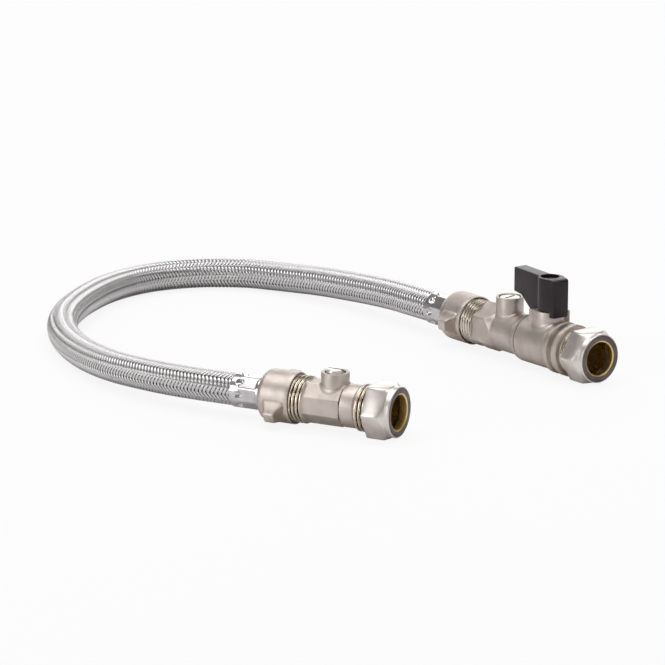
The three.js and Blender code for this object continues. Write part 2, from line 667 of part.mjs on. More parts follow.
// Ball, stem, lever and screw, built about the stem axis
function leverSpindle() {
  const spindle = new THREE.Group();
  const flangeLow = LEVER_BALL_RADIUS + GAP;
  const flangeHigh = flangeLow + FLANGE_HEIGHT;
  const driveBase = LEVER_BOSS_TOP + GAP;
  const driveTop = driveBase + DRIVE_HEIGHT;
  const ringSpan = LEVER_BOSS_TOP - flangeHigh;
  const ringHeights = [flangeHigh + ringSpan * 0.3, flangeHigh + ringSpan * 0.7];

  piece(spindle, 'lever_ball', ball(LEVER_BALL_RADIUS, LEVER_BALL_BORE, 0), CHROME);

  const shaft = upright([
    [flangeLow, 0],
    [flangeLow, LEVER_FLANGE_RADIUS],
    [flangeHigh, LEVER_FLANGE_RADIUS],
    [flangeHigh, LEVER_STEM_RADIUS],
    ...grooveAt(ringHeights[0], LEVER_STEM_RADIUS),
    ...grooveAt(ringHeights[1], LEVER_STEM_RADIUS),
    [driveBase, LEVER_STEM_RADIUS],
    [driveBase, 0],
  ]);
  const drive = post(driveBase - 1, driveTop, DRIVE_RADIUS).intersect(block(
    [-DRIVE_RADIUS - 1, -DRIVE_FLATS / 2, driveBase - 1],
    [DRIVE_RADIUS + 1, DRIVE_FLATS / 2, driveTop],
  ));
  const tangReach = LEVER_STEM_RADIUS - 1;
  const tang = block(
    [-TANG_WIDTH / 2, -tangReach, LEVER_BALL_RADIUS - TANG_DEPTH + GAP],
    [TANG_WIDTH / 2, tangReach, flangeLow + 0.5],
  );
  const tapped = post(driveTop - SCREW_REACH - GAP, driveTop + 1, SCREW_RADIUS + GAP, 0, SMALL_ROUND);
  piece(spindle, 'lever_stem', shaft.add(drive).add(tang).subtract(tapped), BRASS);

  ringHeights.forEach((height, i) => {
    piece(spindle, `lever_stem_ring_${i + 1}`, stemRing(LEVER_STEM_RADIUS, height, 0), RUBBER);
  });

  piece(spindle, 'lever_handle', leverHandle(driveBase, driveTop), BLACK_PLASTIC);

  const headBase = driveTop + GAP + HANDLE_WEB + GAP;
  const headTop = headBase + SCREW_HEAD_HEIGHT;
  const screw = upright([
    [driveTop - SCREW_REACH, 0],
    [driveTop - SCREW_REACH, SCREW_RADIUS],
    [headBase, SCREW_RADIUS],
    [headBase, SCREW_HEAD_RADIUS],
    [headTop - SCREW_HEAD_EDGE, SCREW_HEAD_RADIUS],
    [headTop, SCREW_HEAD_RADIUS - SCREW_HEAD_EDGE],
    [headTop, 0],
  ]);
  const [long, thin, floor] = [CROSS_REACH, CROSS_WIDTH / 2, headTop - CROSS_DEPTH];
  const cross = block([-long, -thin, floor], [long, thin, headTop + 1])
    .add(block([-thin, -long, floor], [thin, long, headTop + 1]));
  piece(spindle, 'lever_screw', screw.subtract(cross), STEEL);
  return spindle;
}

// One rib that stops the lever, at an angle from the nut side towards the front
function stopRib(station, degrees) {
  const rib = block(
    [-STOP_RIB_REACH, -STOP_RIB_WIDTH / 2, LEVER_BOSS_TOP - STOP_RIB_HEIGHT],
    [-LEVER_BOSS_RADIUS + 1, STOP_RIB_WIDTH / 2, LEVER_BOSS_TOP],
  );
  return rib.rotate([0, 0, -degrees]).translate([station, 0, 0]);
}

// Lever valve with its check valve body
function leverValve() {
  const valve = new THREE.Group();
  const threadEnd = BODY_START + LEVER_THREAD_LENGTH;
  const collarEnd = threadEnd + LEVER_COLLAR_LENGTH;
  const grooveEnd = collarEnd + LEVER_GROOVE_LENGTH;
  const shoulderEnd = grooveEnd + LEVER_SHOULDER_LENGTH;
  const barrelStart = shoulderEnd + LEVER_SHOULDER_TAPER;
  const seam = barrelStart + LEVER_BARREL_LENGTH;
  const centre = seam - LEVER_STEM_INSET;
  const port = LEVER_BALL_BORE + GAP;
  const touch = LEVER_BALL_RADIUS + GAP;
  const seatBack = touch * SEAT_CLOSENESS + SEAT_WALL;
  const pocket = touch + GAP;

  piece(valve, 'lever_valve_nut', compressionNut(), NUT_NICKEL);
  piece(valve, 'lever_valve_olive', olive(), BRASS);

  const spigotStart = centre + seatBack + GAP;
  const shell = turned([
    ...pipeThreadOutside(LEVER_THREAD_LENGTH),
    [threadEnd, LEVER_COLLAR_RADIUS - LEVER_COLLAR_EDGE],
    [threadEnd + LEVER_COLLAR_EDGE, LEVER_COLLAR_RADIUS],
    [collarEnd, LEVER_COLLAR_RADIUS],
    [collarEnd, LEVER_GROOVE_RADIUS],
    [grooveEnd, LEVER_GROOVE_RADIUS],
    [grooveEnd, LEVER_COLLAR_RADIUS],
    [shoulderEnd, LEVER_COLLAR_RADIUS],
    [barrelStart, LEVER_BARREL_RADIUS],
    [seam - GAP / 2, LEVER_BARREL_RADIUS],
    [seam - GAP / 2, 0],
    [BODY_START, 0],
  ]);
  const inside = turned([
    [seam + 1, 0],
    [seam + 1, CHECK_SPIGOT_RADIUS + GAP],
    [spigotStart - GAP, CHECK_SPIGOT_RADIUS + GAP],
    [spigotStart - GAP, pocket],
    [centre - seatBack - GAP, pocket],
    [centre - seatBack - GAP, port],
    ...socketInside(port),
    [BODY_START - 1, SOCKET_RADIUS + OLIVE_CONE_OPENING],
    [BODY_START - 1, 0],
  ]);
  const flangeHigh = touch + FLANGE_HEIGHT;
  const ribOffset = HANDLE_TAB_HALF_ANGLE + ribHalfAngle();
  const body = shell
    .add(boss(centre, LEVER_BOSS_RADIUS, LEVER_BOSS_TOP, LEVER_BARREL_RADIUS - 2))
    .add(stopRib(centre, LEVER_SWING + ribOffset))
    .add(stopRib(centre, -ribOffset))
    .subtract(inside)
    .subtract(post(0, flangeHigh + GAP, LEVER_FLANGE_RADIUS + GAP, centre))
    .subtract(post(0, LEVER_BOSS_TOP + 1, LEVER_STEM_RADIUS + GAP, centre));
  piece(valve, 'lever_valve_body', body, NICKEL);

  const spindle = leverSpindle();
  spindle.position.x = centre;
  spindle.rotation.z = -radians(LEVER_REST);
  valve.add(spindle);

  const seats = { lever_valve_seat_inlet: -1, lever_valve_seat_outlet: 1 };
  for (const [name, side] of Object.entries(seats)) {
    piece(valve, name, seat(LEVER_BALL_RADIUS, port, side, centre), PTFE);
  }

  checkValves(valve, seam, spigotStart);
  return valve;
}

// Half the angle in degrees that a stop rib fills, with a little play for the tab
function ribHalfAngle() {
  const half = Math.atan(STOP_RIB_WIDTH / 2 / LEVER_BOSS_RADIUS);
  return THREE.MathUtils.radToDeg(half) + STOP_PLAY;
}

// Body behind the seam, with two cartridges, a spacer, a clip and the test plug
function checkValves(valve, seam, spigotStart) {
  const ledge = seam + CHECK_PORT_LENGTH;
  const firstStart = ledge + GAP;
  const barrelEnd = seam + CHECK_BARREL_LENGTH;
  const flatsEnd = barrelEnd + CHECK_FLATS_LENGTH;
  const hoseEnd = flatsEnd + LEVER_HOSE_THREAD_LENGTH;
  const spacerStart = firstStart + CARTRIDGE_LENGTH + GAP;
  const spacerLength = 2 * (PLUG_PORT_RADIUS + SPACER_MARGIN);
  const plugStation = spacerStart + spacerLength / 2;
  const secondStart = spacerStart + spacerLength + GAP;
  const clipStart = secondStart + CARTRIDGE_LENGTH + GAP;
  const clipEnd = clipStart + CLIP_HEIGHT;
  const sleeve = CHECK_BORE_RADIUS - GAP;

  const shell = turned([
    [spigotStart, 0],
    [spigotStart, CHECK_SPIGOT_RADIUS],
    [seam + GAP / 2, CHECK_SPIGOT_RADIUS],
    [seam + GAP / 2, LEVER_BARREL_RADIUS],
    [seam + CHECK_COLLAR_LENGTH, LEVER_BARREL_RADIUS],
    [seam + CHECK_COLLAR_LENGTH + CHECK_TAPER_LENGTH, CHECK_BARREL_RADIUS],
    [barrelEnd + 1, CHECK_BARREL_RADIUS],
    [barrelEnd + 1, 0],
  ]);
  const runout = barrelEnd - CHECK_FLATS_RUNOUT;
  const cornerRadius = CHECK_FLATS / 2 / Math.cos(Math.PI / 6);
  const cornerCut = turned([
    [runout, 0],
    [runout, CHECK_BARREL_RADIUS - GAP],
    [barrelEnd, cornerRadius],
    [flatsEnd, cornerRadius],
    [flatsEnd, 0],
  ]);
  const hexagon = flatSided(6, CHECK_FLATS, runout, flatsEnd).rotate([30, 0, 0]).intersect(cornerCut);
  const hoseThread = turned([
    [flatsEnd - 1, 0],
    [flatsEnd - 1, HOSE_THREAD_RADIUS],
    [hoseEnd - THREAD_CHAMFER, HOSE_THREAD_RADIUS],
    [hoseEnd, HOSE_THREAD_RADIUS - THREAD_CHAMFER],
    [hoseEnd, 0],
  ]);
  const inside = turned([
    [spigotStart - 1, 0],
    [spigotStart - 1, CHECK_PORT_RADIUS],
    [ledge, CHECK_PORT_RADIUS],
    [ledge, CHECK_BORE_RADIUS],
    [clipStart - GAP, CHECK_BORE_RADIUS],
    [clipStart - GAP, CHECK_BORE_RADIUS + CLIP_REACH + GAP],
    [clipEnd + GAP, CHECK_BORE_RADIUS + CLIP_REACH + GAP],
    [clipEnd + GAP, CHECK_BORE_RADIUS],
    [hoseEnd + 1, CHECK_BORE_RADIUS],
    [hoseEnd + 1, 0],
  ], INNER_ROUND);
  const plugLow = PLUG_BOSS_TOP - GAP - PLUG_LENGTH;
  const sealLow = plugLow - GAP - PLUG_SEAL_HEIGHT;
  const body = shell
    .add(hexagon)
    .add(hoseThread)
    .add(boss(plugStation, PLUG_BOSS_RADIUS, PLUG_BOSS_TOP, CHECK_BARREL_RADIUS - 2))
    .subtract(inside)
    .subtract(post(sealLow - GAP, PLUG_BOSS_TOP + 1, PLUG_RADIUS + GAP, plugStation))
    .subtract(post(0, PLUG_BOSS_TOP, PLUG_PORT_RADIUS, plugStation, SMALL_ROUND));
  piece(valve, 'check_valve_body', body, NICKEL);

  const seal = upright([
    [sealLow, PLUG_SEAL_BORE],
    [sealLow, PLUG_RADIUS],
    [sealLow + PLUG_SEAL_HEIGHT, PLUG_RADIUS],
    [sealLow + PLUG_SEAL_HEIGHT, PLUG_SEAL_BORE],
  ], plugStation);
  piece(valve, 'test_plug_seal', seal, RUBBER);
  const plugTop = plugLow + PLUG_LENGTH;
  const plugSlot = block(
    [-PLUG_SLOT_REACH, -SCREWDRIVER_SLOT / 2, plugTop - SCREWDRIVER_DEPTH],
    [PLUG_SLOT_REACH, SCREWDRIVER_SLOT / 2, plugTop + 1],
  ).rotate([0, 0, PLUG_SLOT_ANGLE]).translate([plugStation, 0, 0]);
  const plug = post(plugLow, plugTop, PLUG_RADIUS, plugStation).subtract(plugSlot);
  piece(valve, 'test_plug', plug, NICKEL);

  [firstStart, secondStart].forEach((start, i) => cartridge(valve, i + 1, start, sleeve));

  const spacer = turned([
    [spacerStart, sleeve - SPACER_WALL],
    [spacerStart, sleeve],
    [spacerStart + spacerLength, sleeve],
    [spacerStart + spacerLength, sleeve - SPACER_WALL],
  ], INNER_ROUND).subtract(post(0, sleeve + 1, PLUG_PORT_RADIUS, plugStation, SMALL_ROUND));
  piece(valve, 'check_spacer', spacer, WHITE_PLASTIC);

  const clip = turned([
    [clipStart, sleeve - SPACER_WALL],
    [clipStart, CHECK_BORE_RADIUS + CLIP_REACH],
    [clipEnd, CHECK_BORE_RADIUS + CLIP_REACH],
    [clipEnd, sleeve - SPACER_WALL],
  ], INNER_ROUND).subtract(block(
    [clipStart - 1, -CLIP_OPENING / 2, -CHECK_BORE_RADIUS - 2],
    [clipEnd + 1, CLIP_OPENING / 2, 0],
  ));
  piece(valve, 'check_retaining_clip', clip, STEEL);

  valve.add(hoseUnion('lever_valve', hoseEnd, LEVER_LUG_TILT));
}

// A cartridge: housing, sprung poppet with its seal, and the spring
function cartridge(valve, number, start, radius) {
  const inner = radius - CARTRIDGE_WALL;
  const end = start + CARTRIDGE_LENGTH;
  const seatFace = start + CARTRIDGE_END_WALL;
  const spider = end - SPIDER_THICKNESS;
  const stemHole = POPPET_STEM_RADIUS + GAP;
  const sleeve = turned([
    [start, CARTRIDGE_PORT_RADIUS],
    [start, radius],
    [end, radius],
    [end, inner],
    [seatFace, inner],
    [seatFace, CARTRIDGE_PORT_RADIUS],
  ], INNER_ROUND);
  let guide = rod(spider, end, SPIDER_HUB_RADIUS, SMALL_ROUND);
  const arms = 3;
  for (let i = 0; i < arms; i += 1) {
    const arm = block([spider, -SPIDER_ARM_WIDTH / 2, 0], [end, SPIDER_ARM_WIDTH / 2, inner + 0.5]);
    guide = guide.add(arm.rotate([(360 * i) / arms, 0, 0]));
  }
  guide = guide.subtract(rod(spider - 1, end + 1, stemHole, SMALL_ROUND));
  piece(valve, `check_housing_${number}`, sleeve.add(guide), WHITE_PLASTIC);

  const sealStart = seatFace + GAP;
  const discStart = sealStart + POPPET_SEAL + GAP;
  const discEnd = discStart + POPPET_DISC;
  const poppet = turned([
    [sealStart, 0],
    [sealStart, POPPET_NOSE_RADIUS],
    [discStart, POPPET_NOSE_RADIUS],
    [discStart, POPPET_RADIUS],
    [discEnd, POPPET_RADIUS],
    [discEnd, POPPET_STEM_RADIUS],
    [end - GAP, POPPET_STEM_RADIUS],
    [end - GAP, 0],
  ], INNER_ROUND);
  piece(valve, `check_poppet_${number}`, poppet, WHITE_PLASTIC);
  const seal = turned([
    [sealStart, POPPET_NOSE_RADIUS + GAP],
    [sealStart, POPPET_RADIUS],
    [sealStart + POPPET_SEAL, POPPET_RADIUS],
    [sealStart + POPPET_SEAL, POPPET_NOSE_RADIUS + GAP],
  ], INNER_ROUND);
  piece(valve, `check_seal_${number}`, seal, RUBBER);
  const from = discEnd + GAP + SPRING_WIRE;
  const to = spider - GAP - SPRING_WIRE;
  piece(valve, `check_spring_${number}`, spring(from, to), STEEL);
}

// A helical spring on the flow axis
function spring(from, to) {
  const helix = new THREE.Curve();
  helix.getPoint = (t, target = new THREE.Vector3()) => {
    const angle = 2 * Math.PI * SPRING_TURNS * t;
    return target.set(
      from + (to - from) * t,
      SPRING_RADIUS * Math.cos(angle),
      SPRING_RADIUS * Math.sin(angle),
    );
  };
  const wire = ringOutline(SPRING_WIRE, 4);
  const steps = Math.round(10 * SPRING_TURNS);
  return solidOf(new THREE.ExtrudeGeometry(wire, { steps, extrudePath: helix }));
}

// A round section as a polygon
function ringOutline(radius, sides) {
  return new THREE.Shape(Array.from({ length: sides }, (_, i) => {
    const angle = (2 * Math.PI * i) / sides;
    return new THREE.Vector2(radius * Math.cos(angle), radius * Math.sin(angle));
  }));
}

// Wing nut, washer, hose tail and ferrule behind a valve's hose thread
function hoseUnion(name, threadEnd, lugTilt) {
  const union = new THREE.Group();
  union.position.x = threadEnd;
  const washerStart = GAP;
  const washerEnd = washerStart + WASHER_THICKNESS;
  const flangeStart = washerEnd + GAP;
  const flangeEnd = flangeStart + TAIL_FLANGE_THICKNESS;
  const wallStart = flangeEnd + GAP;
  const wallEnd = wallStart + WING_BACK_WALL;
  const domeEnd = wallEnd + WING_DOME_LENGTH;
  const ferruleStart = domeEnd + GAP;
  const ferruleEnd = ferruleStart + FERRULE_LENGTH;
  const tailHole = TAIL_RADIUS + GAP;

  const washer = turned([
    [washerStart, WASHER_BORE],
    [washerStart, HOSE_THREAD_RADIUS - GAP],
    [washerEnd, HOSE_THREAD_RADIUS - GAP],
    [washerEnd, WASHER_BORE],
  ], INNER_ROUND);
  piece(union, `${name}_union_washer`, washer, FIBRE);

  const tail = turned([
    [flangeStart, TAIL_BORE],
    [flangeStart, TAIL_FLANGE_RADIUS],
    [flangeEnd, TAIL_FLANGE_RADIUS],
    [flangeEnd, TAIL_RADIUS],
    [ferruleEnd, TAIL_RADIUS],
    [ferruleEnd, TAIL_BORE],
  ], INNER_ROUND);
  piece(union, `${name}_hose_tail`, tail, BRASS);
  const nut = wingNut(wallStart, wallEnd, domeEnd, tailHole, lugTilt);
  piece(union, `${name}_wing_nut`, nut, NICKEL);
  piece(union, `${name}_ferrule`, ferrule(ferruleStart, ferruleEnd, tailHole), STEEL);
  return union;
}

// Round union nut with a domed back and two opposite lugs
function wingNut(wallStart, wallEnd, domeEnd, hole, lugTilt) {
  const rim = -WING_GRIP;
  const drop = WING_RADIUS - WING_DOME_END_RADIUS;
  const domeSteps = 4;
  const dome = Array.from({ length: domeSteps + 1 }, (_, i) => {
    const angle = (Math.PI / 2) * (i / domeSteps);
    return [
      wallEnd + WING_DOME_LENGTH * Math.sin(angle),
      WING_DOME_END_RADIUS + drop * Math.cos(angle),
    ];
  });
  const ring = turned([
    [rim, 0],
    [rim, WING_RADIUS - WING_RIM_CHAMFER],
    [rim + WING_RIM_CHAMFER, WING_RADIUS],
    ...dome,
    [domeEnd, 0],
  ]);
  const outline = [
    [rim + LUG_FRONT[0][0], LUG_ROOT],
    [rim + LUG_BACK.at(-1)[0], LUG_ROOT],
    ...LUG_BACK.map(([station, radius]) => [rim + station, radius]).reverse(),
    ...LUG_FRONT.map(([station, radius]) => [rim + station, radius]).reverse(),
  ];
  const flank = [
    [-LUG_ROOT_HALF_WIDTH, LUG_ROOT],
    [LUG_ROOT_HALF_WIDTH, LUG_ROOT],
    [LUG_TIP_HALF_WIDTH, LUG_REACH],
    [-LUG_TIP_HALF_WIDTH, LUG_REACH],
  ];
  const along = new THREE.Matrix4().makeBasis(
    new THREE.Vector3(0, 0, 1),
    new THREE.Vector3(0, 1, 0),
    new THREE.Vector3(-1, 0, 0),
  );
  const wedge = plate(outline, -LUG_ROOT_HALF_WIDTH, LUG_ROOT_HALF_WIDTH)
    .intersect(plate(flank, -domeEnd, -rim).transform(along.toArray()));
  const lugs = [-lugTilt, 180 - lugTilt].map((tilt) => wedge.rotate([tilt, 0, 0]));
  const threadRadius = HOSE_THREAD_RADIUS + THREAD_GAP;
  const bore = turned([
    [rim - 1, 0],
    [rim - 1, threadRadius],
    [wallStart, threadRadius],
    [wallStart, hole],
    [domeEnd + 1, hole],
    [domeEnd + 1, 0],
  ]);
  return ring.add(lugs[0]).add(lugs[1]).subtract(bore);
}

// Stainless sleeve crimped into eight flats, with a dimple at the end of each flat
function ferrule(start, end, bore) {
  const crimpStart = start + FERRULE_LIP;
  const crimpEnd = crimpStart + FERRULE_CRIMP_LENGTH;
  const round = turned([
    [start, bore],
    [start, FERRULE_RADIUS - FERRULE_EDGE],
    [start + FERRULE_EDGE, FERRULE_RADIUS],
    [end - FERRULE_EDGE, FERRULE_RADIUS],
    [end, FERRULE_RADIUS - FERRULE_EDGE],
    [end, bore],
  ], 24);
  const waist = rod(crimpStart, crimpEnd, FERRULE_RADIUS + 1)
    .subtract(flatSided(CRIMPS, FERRULE_FLATS, crimpStart - 1, crimpEnd + 1));
  let sleeve = round.subtract(waist);
  const dimpleLow = FERRULE_RADIUS - DIMPLE_DEPTH;
  for (let i = 0; i < CRIMPS; i += 1) {
    const dimple = post(dimpleLow, FERRULE_RADIUS + 1, DIMPLE_RADIUS, crimpEnd, 8);
    sleeve = sleeve.subtract(dimple.rotate([(360 * i) / CRIMPS, 0, 0]));
  }
  return sleeve;
}

// Hose along its route
function hose() {
  const route = new THREE.CatmullRomCurve3(HOSE_ROUTE.map((point) => new THREE.Vector3(...point)));
  const section = ringOutline(HOSE_RADIUS, HOSE_SIDES);
  return solidOf(new THREE.ExtrudeGeometry(section, { steps: HOSE_STEPS, extrudePath: route }));
}

// Places a valve on the bench
function placed(valve, [x, y], height, turn) {
  valve.position.set(x, y, height);
  valve.rotation.z = Math.PI - radians(turn);
  return valve;
}

const fillingLoop = new THREE.Group();
fillingLoop.add(placed(isolatingValve(), ISO_FACE, ISO_HEIGHT, ISO_TURN));
fillingLoop.add(placed(leverValve(), LEVER_FACE, LEVER_HEIGHT, LEVER_TURN));
piece(fillingLoop, 'braided_hose', hose(), BRAID);

export default fillingLoop;
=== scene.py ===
"""Looks of a heating filling loop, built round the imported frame.

A lever valve with a check valve body and an isolating valve are joined by a
stainless braided hose. Each valve is drawn along its own flow axis: x is the
station from the outer face of its compression nut, y points to the front and
z is up, in millimetres. Placement turns that into the row frame, in metres.
"""

import logging
import math
from collections.abc import Callable, Sequence
from dataclasses import dataclass, field
from enum import Enum, IntEnum

import bmesh
import bpy
import numpy as np
from mathutils import Matrix, Vector


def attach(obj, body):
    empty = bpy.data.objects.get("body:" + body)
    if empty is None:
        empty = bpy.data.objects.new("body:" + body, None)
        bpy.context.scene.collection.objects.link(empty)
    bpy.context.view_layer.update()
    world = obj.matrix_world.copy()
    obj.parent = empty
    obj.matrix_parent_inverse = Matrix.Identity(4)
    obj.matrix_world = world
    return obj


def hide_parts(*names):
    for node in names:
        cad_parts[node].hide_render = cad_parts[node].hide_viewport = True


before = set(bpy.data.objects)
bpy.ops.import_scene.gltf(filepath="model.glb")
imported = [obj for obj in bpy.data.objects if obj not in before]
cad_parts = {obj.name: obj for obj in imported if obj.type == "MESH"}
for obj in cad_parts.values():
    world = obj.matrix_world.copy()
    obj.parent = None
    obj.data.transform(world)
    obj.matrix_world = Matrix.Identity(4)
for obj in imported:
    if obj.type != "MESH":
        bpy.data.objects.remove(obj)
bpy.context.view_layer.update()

Point = tuple[float, float]
Point3 = tuple[float, float, float]
Edge = tuple[Point, ...]
Profile = Callable[[float], list[Point]]
Floor = Callable[[float, float], float]
Socket = bpy.types.NodeSocket
Value = float | tuple[float, ...] | Socket

MM = 0.001
TURN = 2 * math.pi
UV_SCALE = 10.0  # millimetres of surface to one unit of U
NOISE_RANGE = (0.3, 0.7)  # where most of a noise's values lie
LINE_STRETCH = (1.0, 0.02, 1.0)  # turns a noise into lines round an axis
SMOOTH_LIMIT = math.radians(34)

PITCH = 1.814  # of the pipe and hose threads
ROWS_PER_PITCH = 10
THREAD_DEPTH = 1.0
CREST_START = 0.74  # share of half a pitch, from the groove's middle, at which the crest starts
FLANK = 0.66  # share of half a pitch that the flank takes
RUN_OUT = 0.5  # length over which a thread fades at its ends
LEAST_DEPTH = 0.25  # share of its depth that a thread keeps at its ends
GROOVE_SHARE = 0.55  # share of the depth below which a thread gets painted shade

log = logging.getLogger("filling_loop")


class Hand(Enum):
    """Direction in which a carrier of the braid winds."""

    RIGHT = 1
    LEFT = -1


class Facing(Enum):
    """What a bar with flats has at its top line; the value is its first corner's turn, in sides."""

    FLAT = 0.5
    CORNER = 0.0


class Skin(IntEnum):
    """Finish numbers of a valve body, in the order of VALVE_FINISHES."""

    CAST = 0
    SOCKET = 1
    CREST = 2
    # The last two finishes are painted shade: in thread grooves, and in the lever collar's groove
    GROOVE = 3
    SHADE = 4


# Finishes


class Graph:
    """Nodes of one material or world, with short ways to add and join them."""

    def __init__(self, owner: bpy.types.Material | bpy.types.World) -> None:
        """Turn on the owner's nodes."""
        owner.use_nodes = True
        self.tree = owner.node_tree

    def fill(self, node: bpy.types.Node, values: dict[str | int, Value]) -> None:
        """Set or link inputs of a node.

        Args:
            node: Node to change.
            values: Value or source of each input.
        """
        for key, value in values.items():
            if isinstance(value, bpy.types.NodeSocket):
                self.tree.links.new(value, node.inputs[key])
            else:
                node.inputs[key].default_value = value

    def add(self, kind: str, values: dict[str | int, Value], output: str | int = 0) -> Socket:
        """Add a node.

        Args:
            kind: Its type.
            values: Value or source of each input that isn't left as it is.
            output: The output that is wanted.

        Returns:
            That output.
        """
        node = self.tree.nodes.new(kind)
        self.fill(node, values)
        return node.outputs[output]

    def coordinate(self, output: str) -> Socket:
        """Return one of the texture coordinates."""
        return self.add("ShaderNodeTexCoord", {}, output)

    def noise(self, scale: float, detail: float, source: Socket | None = None) -> Socket:
        """Add a noise texture.

        Args:
            scale: Scale of the noise.
            detail: Octaves of detail.
            source: Coordinate that it follows, or None for the object's own.

        Returns:
            The noise's value.
        """
        place = self.coordinate("Object") if source is None else source
        return self.add("ShaderNodeTexNoise", {"Scale": scale, "Detail": detail, "Vector": place}, "Fac")

    def ramp(self, value: Socket, stops: dict[float, Point3]) -> Socket:
        """Colour a value.

        Args:
            value: Value to colour.
            stops: Colour at each position, from the lowest.

        Returns:
            The colour.
        """
        node = self.tree.nodes.new("ShaderNodeValToRGB")
        elements = node.color_ramp.elements
        for i, (position, colour) in enumerate(stops.items()):
            element = elements[i] if i < 2 else elements.new(position)
            element.position = position
            element.color = (*colour, 1.0)
        self.fill(node, {"Fac": value})
        return node.outputs["Color"]

    def spread(self, value: Socket, ends: Point) -> Socket:
        """Map the middle of a noise to a range.

        Args:
            value: The noise's value.
            ends: Low and high end of the range.

        Returns:
            The mapped value.
        """
        low, high = NOISE_RANGE
        return self.add("ShaderNodeMapRange", {"Value": value, "From Min": low, "From Max": high,
                                               "To Min": ends[0], "To Max": ends[1]}, "Result")

    def bump(self, shader: bpy.types.Node, heights: list[tuple[Socket, float, float]]) -> None:
        """Chain bumps into a shader's normal.

        Args:
            shader: Principled shader.
            heights: Height, strength and distance in millimetres of each bump.
        """
        last = {}
        for height, strength, distance in heights:
            values = {"Height": height, "Strength": strength, "Distance": distance * MM}
            last = {"Normal": self.add("ShaderNodeBump", values | last, "Normal")}
        self.fill(shader, last)


@dataclass(frozen=True)
class Finish:
    """A procedural finish: two colours that it moves between and a range of roughness.

    Depths of grain and lines are in millimetres, and scales are per metre.
    """

    name: str
    colour: Point3
    second: Point3
    roughness: Point

    def material(self) -> bpy.types.Material:
        """Return the finish as a node material, which is made only once.

        Returns:
            The material.
        """
        found = bpy.data.materials.get(self.name)
        if found:
            return found
        material = bpy.data.materials.new(self.name)
        graph = Graph(material)
        self.dress(graph, graph.tree.nodes["Principled BSDF"])
        return material

    def dress(self, graph: Graph, shader: bpy.types.Node) -> None:
        """Fill the shader, in the way of each kind of finish."""
        raise NotImplementedError


@dataclass(frozen=True)
class Metal(Finish):
    """A metal with cast grain, turning lines and patchy polish."""

    grain: float = 0.0
    lines: float = 0.0
    line_scale: float = 60.0
    grain_scale: float = 2600.0
    patch_scale: float = 140.0
    polish_scale: float = 420.0

    def dress(self, graph: Graph, shader: bpy.types.Node) -> None:
        """Fill the shader.

        Args:
            graph: Nodes of the material.
            shader: Its principled shader.
        """
        patches = graph.noise(self.patch_scale, 4.0)
        graph.fill(shader, {
            "Metallic": 1.0,
            "Base Color": graph.ramp(patches, {0.35: self.second, 0.62: self.colour}),
            "Roughness": graph.spread(graph.noise(self.polish_scale, 5.0), self.roughness)})
        heights = []
        if self.grain:
            heights.append((graph.noise(self.grain_scale, 2.0), 0.6, self.grain))
        if self.lines:
            round_axis = graph.add("ShaderNodeMapping", {"Vector": graph.coordinate("UV"),
                                                         "Scale": LINE_STRETCH})
            heights.append((graph.noise(self.line_scale, 2.0, round_axis), 0.5, self.lines))
        graph.bump(shader, heights)


@dataclass(frozen=True)
class Moulding(Finish):
    """A moulded plastic or rubber with a fine spark-eroded texture and some dust."""

    grain: float = 0.05
    shine: float = 0.5
    dust: float = 0.0
    grain_scale: float = 2200.0
    patch_scale: float = 120.0
    shine_scale: float = 300.0
    dust_colour: tuple[float, ...] = (0.95, 0.88, 1.0, 1.0)

    def dress(self, graph: Graph, shader: bpy.types.Node) -> None:
        """Fill the shader.

        Args:
            graph: Nodes of the material.
            shader: Its principled shader.
        """
        patches = graph.noise(self.patch_scale, 4.0)
        graph.fill(shader, {
            "Base Color": graph.ramp(patches, {0.4: self.colour, 0.75: self.second}),
            "Roughness": graph.spread(graph.noise(self.shine_scale, 3.0), self.roughness),
            "Specular IOR Level": self.shine,
            "Sheen Weight": self.dust,
            "Sheen Roughness": 0.3,
            "Sheen Tint": self.dust_colour})
        graph.bump(shader, [(graph.noise(self.grain_scale, 2.0), 0.7, self.grain)])


@dataclass(frozen=True)
class Wire(Finish):
    """Flat carriers of fine wires that lie side by side, across V, with painted shade between the wires.
    """

    wave_scale: float = 3.0
    relief: float = 0.06
    polish_scale: float = 700.0

    def dress(self, graph: Graph, shader: bpy.types.Node) -> None:
        """Fill the shader.

        Args:
            graph: Nodes of the material.
            shader: Its principled shader.
        """
        wires = graph.add("ShaderNodeTexWave", {"Vector": graph.coordinate("UV"),
                                                "Scale": self.wave_scale}, "Fac")
        wires.node.bands_direction = "Y"
        graph.fill(shader, {
            "Metallic": 1.0,
            # The second colour is painted shade in the gaps between wires
            "Base Color": graph.ramp(wires, {0.0: self.second, 0.4: self.colour}),
            "Roughness": graph.spread(graph.noise(self.polish_scale, 3.0), self.roughness)})
        graph.bump(shader, [(wires, 0.35, self.relief)])


CAST_NICKEL = Metal("cast_nickel", (0.66, 0.588, 0.54), (0.56, 0.492, 0.445), (0.39, 0.49),
                    grain=0.03, lines=0.01)
TURNED_NICKEL = Metal("turned_nickel", (0.85, 0.79, 0.75), (0.75, 0.69, 0.65), (0.28, 0.36),
                      grain=0.01, lines=0.012, line_scale=40.0)
# Painted shade on the nut end faces, which face the darker side of the room
FACE_NICKEL = Metal("nut_end_nickel", (0.17, 0.145, 0.142), (0.125, 0.105, 0.103), (0.34, 0.44),
                    grain=0.02, lines=0.03)
THREAD_NICKEL = Metal("thread_nickel", (0.84, 0.76, 0.66), (0.72, 0.635, 0.53), (0.22, 0.30),
                      grain=0.008)
# Painted shade in the thread grooves
THREAD_GROOVE = Metal("thread_groove", (0.20, 0.145, 0.105), (0.12, 0.085, 0.06), (0.35, 0.5))
